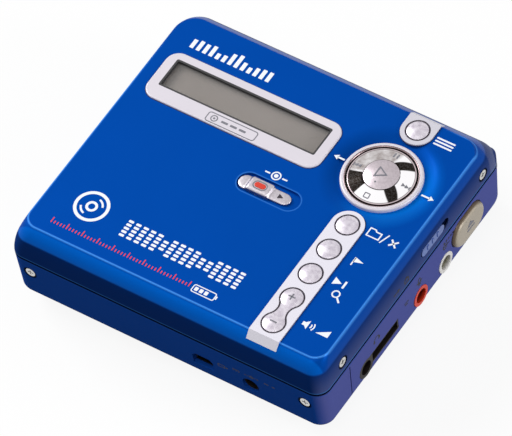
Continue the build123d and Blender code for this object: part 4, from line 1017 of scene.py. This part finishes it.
# %% Ornaments
bar_count, bars_left, bars_foot = 13, -31.0, 22.9
bar_step = 19.7 / (bar_count - 1)
level_bars = []
for index in range(bar_count):
    tall = 1.3 + 2.5 * abs(sin(0.62 * index + 0.5)) * (0.75 + 0.25 * cos(1.9 * index))
    level_bars.append(bar(bars_left + bar_step * index, bars_foot + tall / 2, 0.95, tall))
printed("level_ornament", level_bars, lid_top, white_ink, "lid")

disc_sign = [ring(0, 0, 3.7, 0.75, 56), ring(0, 0, 1.1, 0.6)]
disc_sign += [line(arc(0, 0, 2.4, start, start + 55, 14), 0.45) for start in (20, 200)]
printed("disc_ornament", placed(disc_sign, -26.1, -23.9), lid_top, white_ink, "lid")

field_left, field_y, column_step, row_step = -16.2, -25.2, 1.92, 1.0
dots = []
for column in range(16):
    swell = 1 + round(2.0 * abs(sin(0.55 * column + 0.4)) + 0.6 * cos(2.1 * column))
    swell = min(swell, 2)
    dots += [bar(field_left + column_step * column, field_y + row_step * row, 1.25, 0.62, 0.2)
             for row in range(-swell, swell + 1)]
printed("dot_ornament", dots, lid_top, white_ink, "lid")

# %% [markdown]
# Along the front edge runs a red scale like a tuner's, with a longer stroke at every fifth, and a small
# gauge of the cell stands at its end.

# %% Red scale and the small gauge near the front edge
scale_left, scale_foot, tick_step = -31.6, -31.7, 0.79
ticks = []
for index in range(46):
    tall = 1.5 if index % 5 == 0 else 0.8
    ticks.append(bar(scale_left + tick_step * index, scale_foot + tall / 2, 0.26, tall, 0.08))
printed("red_scale", ticks, lid_top, red_ink, "lid")

gauge_x, gauge_y = 7.8, -31.4
gauge = [frame_line(gauge_x, gauge_y, 5.6, 1.9, 0.4, 0.24), bar(gauge_x + 3.15, gauge_y, 0.35, 0.9)]
gauge += [bar(gauge_x - 1.9 + 1.25 * cell, gauge_y, 0.85, 1.0) for cell in range(3)]
printed("cell_gauge", gauge, lid_top, white_ink, "lid")

# %% [markdown]
# ## Painted shade in gaps and openings
#
# Round each key a dark ring of painted shade stands for the shade in its narrow gap, and the display lies
# at the foot of a black sheet of painted shade. They are what makes such a small front look crisp, so
# each gets its own ring. The rocker's outline is made of four arcs: two lobes, and two hollow arcs that
# touch both lobes.

# %% Dark rings of painted shade round the keys
rocker_low, rocker_high = low("volume_rocker"), high("volume_rocker")
rocker_middle = middle("volume_rocker")
lobe = (rocker_high[0] - rocker_low[0]) / 2
lobe_pitch = (rocker_high[1] - rocker_low[1]) / 2 - lobe
key_gap, gap_pen = 0.15 + 0.10, 0.26


def peanut(reach, half_pitch, neck):
    """The rocker's outline: lobes at plus and minus half the pitch, joined by hollow arcs.

    The hollow radius follows from Pythagoras: (hollow + neck)^2 + pitch^2 = (hollow + lobe)^2.
    """
    hollow = (half_pitch**2 + neck**2 - lobe**2) / (2 * (lobe - neck))
    aside, grow = hollow + neck, reach - lobe
    turn = degrees(atan2(half_pitch, aside))
    arcs = [arc(0, half_pitch, reach, -turn, 180 + turn),
            arc(-aside, 0, hollow - grow, turn, -turn, 12),
            arc(0, -half_pitch, reach, 180 - turn, 360 + turn),
            arc(aside, 0, hollow - grow, 180 + turn, 180 - turn, 12)]
    return np.concatenate([piece[:-1] for piece in arcs])


# Painted shade: a dark ring in the gap round each key and round the rocker.
rings = [ring(*middle(node)[:2], lobe + key_gap, gap_pen, 48)
         for node in ("group_button", "mark_button", "search_button", "menu_button")]
rings.append(line(peanut(lobe + key_gap, lobe_pitch, 1.1) + rocker_middle[:2], gap_pen, closed=True))
printed("key_gap_shade", rings, level(high("button_strip")[2]), gap_shade_and_arrow_ink, "lid")

# %% [markdown]
# Round each silver part let into the blue runs a fine dark line of painted shade. The strip and the
# menu plate run out over an edge of the lid, so their lines are open: straight, a half circle, straight.

# %% Painted shade round the silver parts
seam_gap, seam_pen = 0.06, 0.22


def tongue(centre, round_end, start, stop, foot):
    """An open line round a tongue: up from its foot, round its end, and back."""
    turn = arc(*centre, round_end + seam_gap, start, stop)
    return np.concatenate([[(turn[0][0], foot)], turn, [(turn[-1][0], foot)]])


strip_high, strip_middle = high("button_strip"), middle("button_strip")
strip_half = strip_high[0] - strip_middle[0]
strip_edge = tongue((strip_middle[0], strip_high[1] - strip_half), strip_half, 180, 0, ridge_front + 0.4)
plate_half = (high("menu_plate")[0] - low("menu_plate")[0]) / 2
plate_edge = tongue(middle("menu_button")[:2], plate_half, 180, 360, ridge_back - 0.2)
bezel_low, bezel_high, bezel_middle = low("display_bezel"), high("display_bezel"), middle("display_bezel")
bezel_size = bezel_high - bezel_low
# Painted shade: a fine dark line round the bezel, the strip and the menu plate.
shaded_seams = [frame_line(*bezel_middle[:2], *(bezel_size[:2] + 2 * seam_gap), 3.26, seam_pen, rise=0.01),
         line(strip_edge, seam_pen, rise=0.01), line(plate_edge, seam_pen, rise=0.01)]
printed("shaded_seams", shaded_seams, lid_top, seam_shade_ink, "lid")

# %% [markdown]
# The display's black sheet of painted shade is one more closed line, but a tall one, round the walls of
# its opening. The trim round the dial is a ring turned from a profile of six points, between the disc and
# the silver ring.

# %% Painted shade sheet of the display, and trim of the dial
opening_low, opening_high = bezel_low[:2] + [2.35, 3.65], bezel_high[:2] - [2.35, 1.95]
opening = opening_high - opening_low
liner_pen = 0.44
# Painted shade: a black sheet round the walls of the display's opening.
shade_sheet = frame_line(*(opening_low + opening_high) / 2, *(opening - liner_pen), 0.5, liner_pen, rise=0.74)
printed("display_shade_sheet", [shade_sheet], level(high("display_window")[2] + sunk), finishes["black"], "lid")


def revolved(name, centre, profile, finish, body, sides=96):
    """A closed profile of radius and height, turned once round an upright axis."""
    profile = np.array(profile, float)
    angle = (np.arange(sides) * 2 * pi / sides)[:, None]
    points = np.stack([centre[0] + profile[:, 0] * np.cos(angle), centre[1] + profile[:, 0] * np.sin(angle),
                       profile[:, 1] + 0 * angle], axis=-1).reshape(-1, 3)
    return solid(name, points, loft_faces(sides, len(profile), closed=True), finish, body, smooth=True)


ring_top = high("dial_ring")[2]
trim_profile = [(8.30, -0.5), (8.30, -0.02), (8.16, -0.01), (8.02, -0.12), (7.92, -0.32), (7.92, -0.6)]
revolved("dial_trim", dial_centre, np.array(trim_profile) + [0.0, ring_top], finishes["trim"], "lid")
print("the display's opening is", opening.round(2), "mm")

# %% [markdown]
# The silver bezel carries a small framed sign in grey: a disc and three bars.

# %% Sign on the bezel
sign_x, sign_y = -11.1, 8.75
frame_sign = [frame_line(sign_x, sign_y, 12.6, 2.5, 0.6, 0.22), ring(sign_x - 4.5, sign_y, 0.75, 0.24, 24),
              patch(circle(sign_x - 4.5, sign_y, 0.26, 16))]
frame_sign += [bar(sign_x - 1.8 + 2.3 * index, sign_y, 1.7, 0.55) for index in range(3)]
printed("bezel_sign", frame_sign, level(bezel_high[2]), grey_ink, "lid")

# %% [markdown]
# ## What is engraved on the dial and the keys
#
# The four directions of the dial carry the signs for pause, stop and the two skips, thin and grey on
# the spun metal. The middle button has the sign for play, and the rocker's two lobes a plus and a
# minus. They follow the cone and the domes they lie on.

# %% Dial and key marks
disc_high = high("dial_disc")[2]
dial_cone = cone(dial_centre, 4.5, disc_high + 0.01, 7.7, disc_high - 0.59)
sign_radius = 6.05
raised = 0.05
dial_signs = placed([bar(side * 0.42, 0, 0.36, 1.3, 0.08) for side in (-1, 1)], 0, sign_radius)
stop_edge = fine(rounded(0, -sign_radius, 1.2, 1.1, 0.1), closed=True)
dial_signs += [line(stop_edge, 0.22, closed=True, rise=raised)]
skip = [moved(triangle(0.95), -0.5, 0), moved(triangle(0.95), 0.35, 0), bar(0.98, 0, 0.24, 0.95, 0.06)]
dial_signs += placed(skip, sign_radius, 0) + placed(skip, -sign_radius, 0, turned=180)
printed("dial_signs", dial_signs, dial_cone, grey_ink, "dial")

enter_dome = dome(dial_centre, high("enter_button")[2], chord=4.0, rise=0.65)
play = [line(fine([(-1.0, -1.3), (1.3, 0), (-1.0, 1.3)], closed=True), 0.32, closed=True, rise=raised),
        patch(circle(0, -2.5, 0.22, 16), rise=raised)]
printed("play_sign", play, enter_dome, grey_ink, "enter_key")

stroke = line(fine([(-0.85, 0), (0.85, 0)]), 0.32, rise=raised)
for name, lobe_y, shapes in (("plus_sign", rocker_middle[1] + lobe_pitch, [stroke, moved(stroke, turned=90)]),
                             ("minus_sign", rocker_middle[1] - lobe_pitch, [stroke])):
    lobe_dome = dome((rocker_middle[0], lobe_y), rocker_high[2], chord=lobe, rise=0.5)
    printed(name, shapes, lobe_dome, grey_ink, "rocker")

# %% [markdown]
# ## The recording slider
#
# The solid of the slider is a plain bar. The real one is stepped, with a raised pad round the red inset
# and a narrower lobe at its right, so one shaped surface stands for it. It also gets a fine frame round
# the inset, and a small arrow that points the way it travels.

# %% A stepped knob
knob_low, knob_high, knob_middle = low("rec_slider"), high("rec_slider"), middle("rec_slider")
inset_low, inset_high = low("rec_inset"), high("rec_inset")
knob_floor, knob_top, pad_top, knob_half = 26.75, 27.42, 28.1, 1.85
stations, around = 120, 28


def knob():
    """A cross-section carried along X, whose width and height change as it goes.

    The section is half a superellipse, |y/w|^5 + |z/h|^5 = 1. The width falls at both ends as a circle
    does, and the right lobe is a little narrower. The height rises by a slope to the pad round the red
    inset, which catches the light, and falls steeply past it.
    """
    along = knob_middle[0] + np.cos(np.linspace(pi, 0, stations)) * (knob_high[0] - knob_low[0]) / 2
    from_end = np.minimum(along - knob_low[0], knob_high[0] - along)
    width = np.sqrt(np.clip(1 - np.clip(1 - from_end / knob_half, 0, 1) ** 2, 0.001, 1)) * knob_half
    pad_from, pad_to = inset_low[0] - 1.5, inset_high[0] + 1.3
    width = width * (1 - 0.16 * np.clip((along - pad_to) / 0.8 + 0.5, 0, 1))
    rise = np.clip((along - pad_from) / 1.1 + 0.5, 0, 1) * np.clip((pad_to - along) / 0.3 + 0.5, 0, 1)
    height = (knob_top - knob_floor) * (width / knob_half) ** 0.3
    height = height + (pad_top - knob_top) * rise**2 * (3 - 2 * rise)
    angle = np.linspace(0, pi, around)
    flat = np.sign(np.cos(angle)) * np.abs(np.cos(angle)) ** 0.4
    lift = np.abs(np.sin(angle)) ** 0.4
    side = knob_middle[1] + width[:, None] * flat
    return np.stack([along[:, None] + 0 * flat, side, knob_floor + height[:, None] * lift],
                    axis=-1).reshape(-1, 3)


knob_faces = [face[::-1] for face in capped_loft(stations, around)]
knob_piece = solid("record_knob", knob(), knob_faces, finishes["slider_metal"], "recorder_slide",
                   smooth=True)
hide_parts("rec_slider")
inset_frame = frame_line(*middle("rec_inset")[:2], 3.3, 1.95, 0.95, 0.26, rise=0.02)
printed("inset_frame", [inset_frame], level(pad_top), grey_ink, "recorder_slide")
printed("record_arrow", placed([triangle(1.2)], 8.4, knob_middle[1]), level(knob_top + sunk), gap_shade_and_arrow_ink,
        "recorder_slide")

# %% [markdown]
# The open button has the sign for eject: a triangle over a bar.

# %% Sign on the open button
open_middle, open_face = middle("open_button"), high("open_button")[0]
eject = [patch([(-1.5, 0.15), (1.5, 0.15), (0, 1.75)]), bar(0, -0.65, 3.0, 0.55)]
printed("eject_sign", placed(eject, *open_middle[1:]), right_wall(open_face), grey_ink, "opener")

# %% [markdown]
# ## Small signs on the walls
#
# Tiny dark signs stand by the slider and the sockets: a padlock and an arrow by the hold slider, an
# arrow into a ring for the line input, a microphone and headphones. The headphone socket's box also
# holds a slot, so the place of its round hole is given.

# %% Signs on the right wall
lock = [frame_line(0, -0.25, 1.5, 1.1, 0.15, 0.36), line(arc(0, 0.3, 0.45, 0, 180, 12), 0.32)]
printed("hold_sign", placed(lock, -3.0, 19.6) + placed(arrow(2.6, 1.0, 0.4), -5.6, 19.5, turned=180),
        lid_wall, navy_ink, "lid")

line_y, mic_y, phones_y = middle("line_in_jack")[1], middle("mic_jack")[1], -20.4
line_sign = [line(arc(0, 0, 0.8, 40, 320, 20), 0.34), line([(-0.1, 0), (1.7, 0)], 0.34),
             patch([(-0.55, 0), (0.15, 0.4), (0.15, -0.4)])]
mic_sign = [frame_line(0, 0.35, 0.8, 1.5, 0.38, 0.32), line(arc(0, 0.3, 0.95, 190, 350, 14), 0.3),
            line([(0, -0.55), (0, -1.1)], 0.32), line([(-0.5, -1.1), (0.5, -1.1)], 0.32)]
phones_sign = [line(arc(0, 0, 0.95, 0, 180, 16), 0.34)]
phones_sign += [bar(side * 0.95, -0.25, 0.6, 0.8, 0.1) for side in (-1, 1)]
side_signs = placed(line_sign, line_y + 0.4, 13.6) + placed(mic_sign, mic_y, 13.4)
side_signs += placed(phones_sign, phones_y + 4.6, 13.2)
side_signs += [bar(mic_y - 5.4, 12.2, 1.6, 0.36), bar(mic_y - 5.4, 11.5, 1.0, 0.36)]
side_signs += [bar(line_y + 3.7 - 0.9 * index, 14.9, 0.55, 0.6) for index in range(5)]
printed("side_signs", side_signs, base_side, navy_ink, "base")

# %% [markdown]
# On the front wall a plug stands by the data socket. By the supply socket there is a solid over a
# broken line for direct current, and the sign of its poles.

# %% Signs on the front wall
usb_x, supply_x = middle("usb_socket")[0], middle("dc_jack")[0]
sign_height = 12.7


def dashes(pen, *runs):
    """Short straight lines, each from its first to its last point."""
    return [line(run, pen) for run in runs]


direct = dashes(0.2, [(-0.9, 0.25), (0.9, 0.25)], *([(x, -0.2), (x + 0.4, -0.2)] for x in (-0.9, -0.2, 0.5)))
poles = [ring(0, 0, 0.42, 0.16, 20), patch(circle(0, 0, 0.16, 12))]
poles += dashes(0.16, [(0.42, 0), (1.0, 0)], [(-0.42, 0), (-1.0, 0)])
poles += dashes(0.18, [(1.2, 0), (1.8, 0)], [(1.5, -0.3), (1.5, 0.3)], [(-1.8, 0), (-1.2, 0)])
plug = [frame_line(0, 0, 1.7, 0.9, 0.2, 0.2), bar(1.35, 0, 0.5, 0.4, 0.08)]
front_signs = placed(plug, usb_x + 5.0, 11.6) + placed(direct, supply_x - 3.3, sign_height - 0.1)
front_signs += placed(poles, supply_x + 0.6, sign_height)
front_signs += [bar(supply_x + aside, sign_height, width, 0.3) for aside, width in ((4.4, 1.2), (6.2, 0.8))]
printed("front_signs", front_signs, base_front, navy_ink, "base")

# %% [markdown]
# ## The lead screw
#
# The solid of the lead screw is a plain cylinder. The real one has a thread that carries the sled, so
# a threaded surface stands for it: its radius rises and falls with the angle plus the distance along
# the axis, which is the whole formula of a thread. The two plain journals are part of the profile.

# %% Threaded rod
screw_low, screw_high, screw_axis = low("lead_screw"), high("lead_screw"), middle("lead_screw")
turns_per_mm = 1.0
neck, core, crest = 0.5, 0.62, 0.8
left_journal, right_journal = 1.0, 4.0
screw_rings, screw_sides = 420, 20


def threaded(start, end):
    """A rod along X: radius = core + depth * (half a cosine of angle + turns), necks at both ends.

    The first parameter runs along the rod, the second round it.
    """
    along = np.linspace(start, end, screw_rings)[:, None]
    around = (np.arange(screw_sides) * 2 * pi / screw_sides)[None, :]
    wave = 0.5 + 0.5 * np.cos(around - 2 * pi * turns_per_mm * along)
    plain = (along < start + left_journal) | (along > end - right_journal)
    radius = np.where(plain, neck, core + (crest - core) * wave)
    return np.stack([along + 0 * around, screw_axis[1] + radius * np.cos(around),
                     screw_axis[2] + radius * np.sin(around)], axis=-1).reshape(-1, 3)


thread_faces = [face[::-1] for face in capped_loft(screw_rings, screw_sides)]
thread = solid("lead_screw_thread", threaded(screw_low[0], screw_high[0]), thread_faces,
               finishes["brass"], "screw", smooth=True)
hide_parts("lead_screw")
print("the thread has", len(thread.data.polygons), "faces")

# %% [markdown]
# ## Legs of the chips
#
# Each package on the board stands on bent legs. They are one strip, folded as an S, repeated along
# the four sides. The strip is written once and a loop puts it round each chip.

# %% Chip legs
board_top = high("main_board")[2]
chip_list = [(-20, -22, 12), (-2, -24, 9), (12, -14, 7), (-22, 8, 8), (8, 9, 6), (23, 25, 9)]
leg_profile = np.array([(-0.05, 0.55), (0.3, 0.55), (0.45, 0.1), (0.85, 0.1)])
leg_width, leg_pitch, leg_sheet = 0.3, 0.8, 0.09
corner_room = 1.2


def leg(x, y, outward):
    """One leg: an S of four points out from the package, with a width and a thickness."""
    out = np.array([cos(outward), sin(outward)])
    side = np.array([-out[1], out[0]]) * leg_width / 2
    flat = np.array([x, y]) + leg_profile[:, :1] * out
    height = board_top + leg_profile[:, 1:]
    corners = [np.column_stack([flat + sign * side, height + lift])
               for sign, lift in ((-1, 0), (-1, leg_sheet), (1, leg_sheet), (1, 0))]
    return np.stack(corners, axis=1).reshape(-1, 3), capped_loft(len(flat), 4)


legs = []
for chip_x, chip_y, chip_side in chip_list:
    number = int((chip_side - corner_room) / leg_pitch)
    for side in range(4):
        outward = side * pi / 2
        for index in range(number):
            slide = (index - (number - 1) / 2) * leg_pitch
            legs.append(leg(chip_x + cos(outward) * chip_side / 2 - sin(outward) * slide,
                            chip_y + sin(outward) * chip_side / 2 + cos(outward) * slide, outward))
printed("chip_legs", legs, level(0.0), finishes["tin"], "base")

# %% [markdown]
# ## Table, lamps and surroundings
#
# The picture has a plain white ground. The table is a pale plane which the camera, and whatever
# mirrors it, sees nearly white, while it keeps the recorder's soft shadow. The light that bounces off
# it is weaker, so that the dark walls stay dark. The surroundings follow the same rule.

# %% Table and surroundings
ambient = 0.20
glow_share = 0.90
table_reach, table_gap = 3000.0, 0.02


def seen(network):
    """A 1 on rays from the camera, a mirror or a pane, and a 0 on light that bounces about."""
    path = network.node("ShaderNodeLightPath")
    rays = ("Is Camera Ray", "Is Glossy Ray", "Is Transmission Ray")
    from_camera, mirrored, through = network.outputs(path, rays)
    return from_camera.above(mirrored).above(through)


table_finish = Finish("pale table")
directly = seen(table_finish)
dust = table_finish.noise(40.0, detail=2.0)
bounced = table_finish.blend(dust, (0.22, 0.22, 0.22, 1.0), (0.26, 0.26, 0.26, 1.0))
table_finish.feed(Base_Color=table_finish.blend(directly, bounced, (0.9, 0.9, 0.9, 1.0)), Roughness=0.85,
                  Specular_IOR_Level=0.1)
glow = table_finish.node("ShaderNodeEmission", {}, {"Color": (1.0, 1.0, 1.0, 1.0)})
matt = Signal(table_finish, table_finish.shader.outputs["BSDF"])
both = table_finish.node("ShaderNodeMixShader", {}, {0: directly * glow_share, 1: matt, 2: glow})
table_finish.tree.links.new(both.socket, table_finish.output.inputs["Surface"])

table_mesh = bpy.data.meshes.new("table")
table_corners = np.array([(-1, -1), (1, -1), (1, 1), (-1, 1)]) * table_reach
table_mesh.from_pydata((np.column_stack([table_corners, [-table_gap] * 4]) * MM).tolist(), [], [[0, 1, 2, 3]])
table_mesh.materials.append(table_finish.material)
table = bpy.data.objects.new("table", table_mesh)
bpy.context.scene.collection.objects.link(table)

world = bpy.data.worlds.new("studio")
bpy.context.scene.world = world
world.use_nodes = True
surroundings = Network(world.node_tree)
sky = world.node_tree.nodes["Background"]
sky.inputs["Color"].default_value = (1.0, 1.0, 1.0, 1.0)
strength = ambient + (1 - ambient) * seen(surroundings)
world.node_tree.links.new(strength.socket, sky.inputs["Strength"])
print("the table and the surroundings are pale")

# %% [markdown]
# Three large lamps light the recorder. The key lamp stands well out to the left, so that the flat top
# is bright and the front wall stays dark. A weak one above the front opens the shadows, and a low one
# at the right lights the right wall.


# %% Lamps
def lamp(name, where, size, brightness, toward=(0.0, 0.0, 10.0)):
    """A square lamp that lights a white surface facing it to the given brightness.

    The power rises with the square of the distance: (pi * distance)^2 watts for a brightness of 1.
    """
    data = bpy.data.lights.new(name, "AREA")
    data.size = size * MM
    span = Vector(where) - Vector(toward)
    data.energy = brightness * (pi * span.length * MM) ** 2
    made = bpy.data.objects.new(name, data)
    facing = span.to_track_quat("Z", "Y").to_matrix().to_4x4()
    made.matrix_world = Matrix.Translation(Vector(where) * MM) @ facing
    bpy.context.scene.collection.objects.link(made)
    print(name, "gives", round(data.energy, 2), "watts")


lamp("key_lamp", (-800, 60, 620), 520, 0.92)
lamp("top_lamp", (120, -420, 840), 420, 0.24)
lamp("side_lamp", (860, 120, 300), 380, 0.55)
bpy.context.scene.view_settings.view_transform = "Standard"
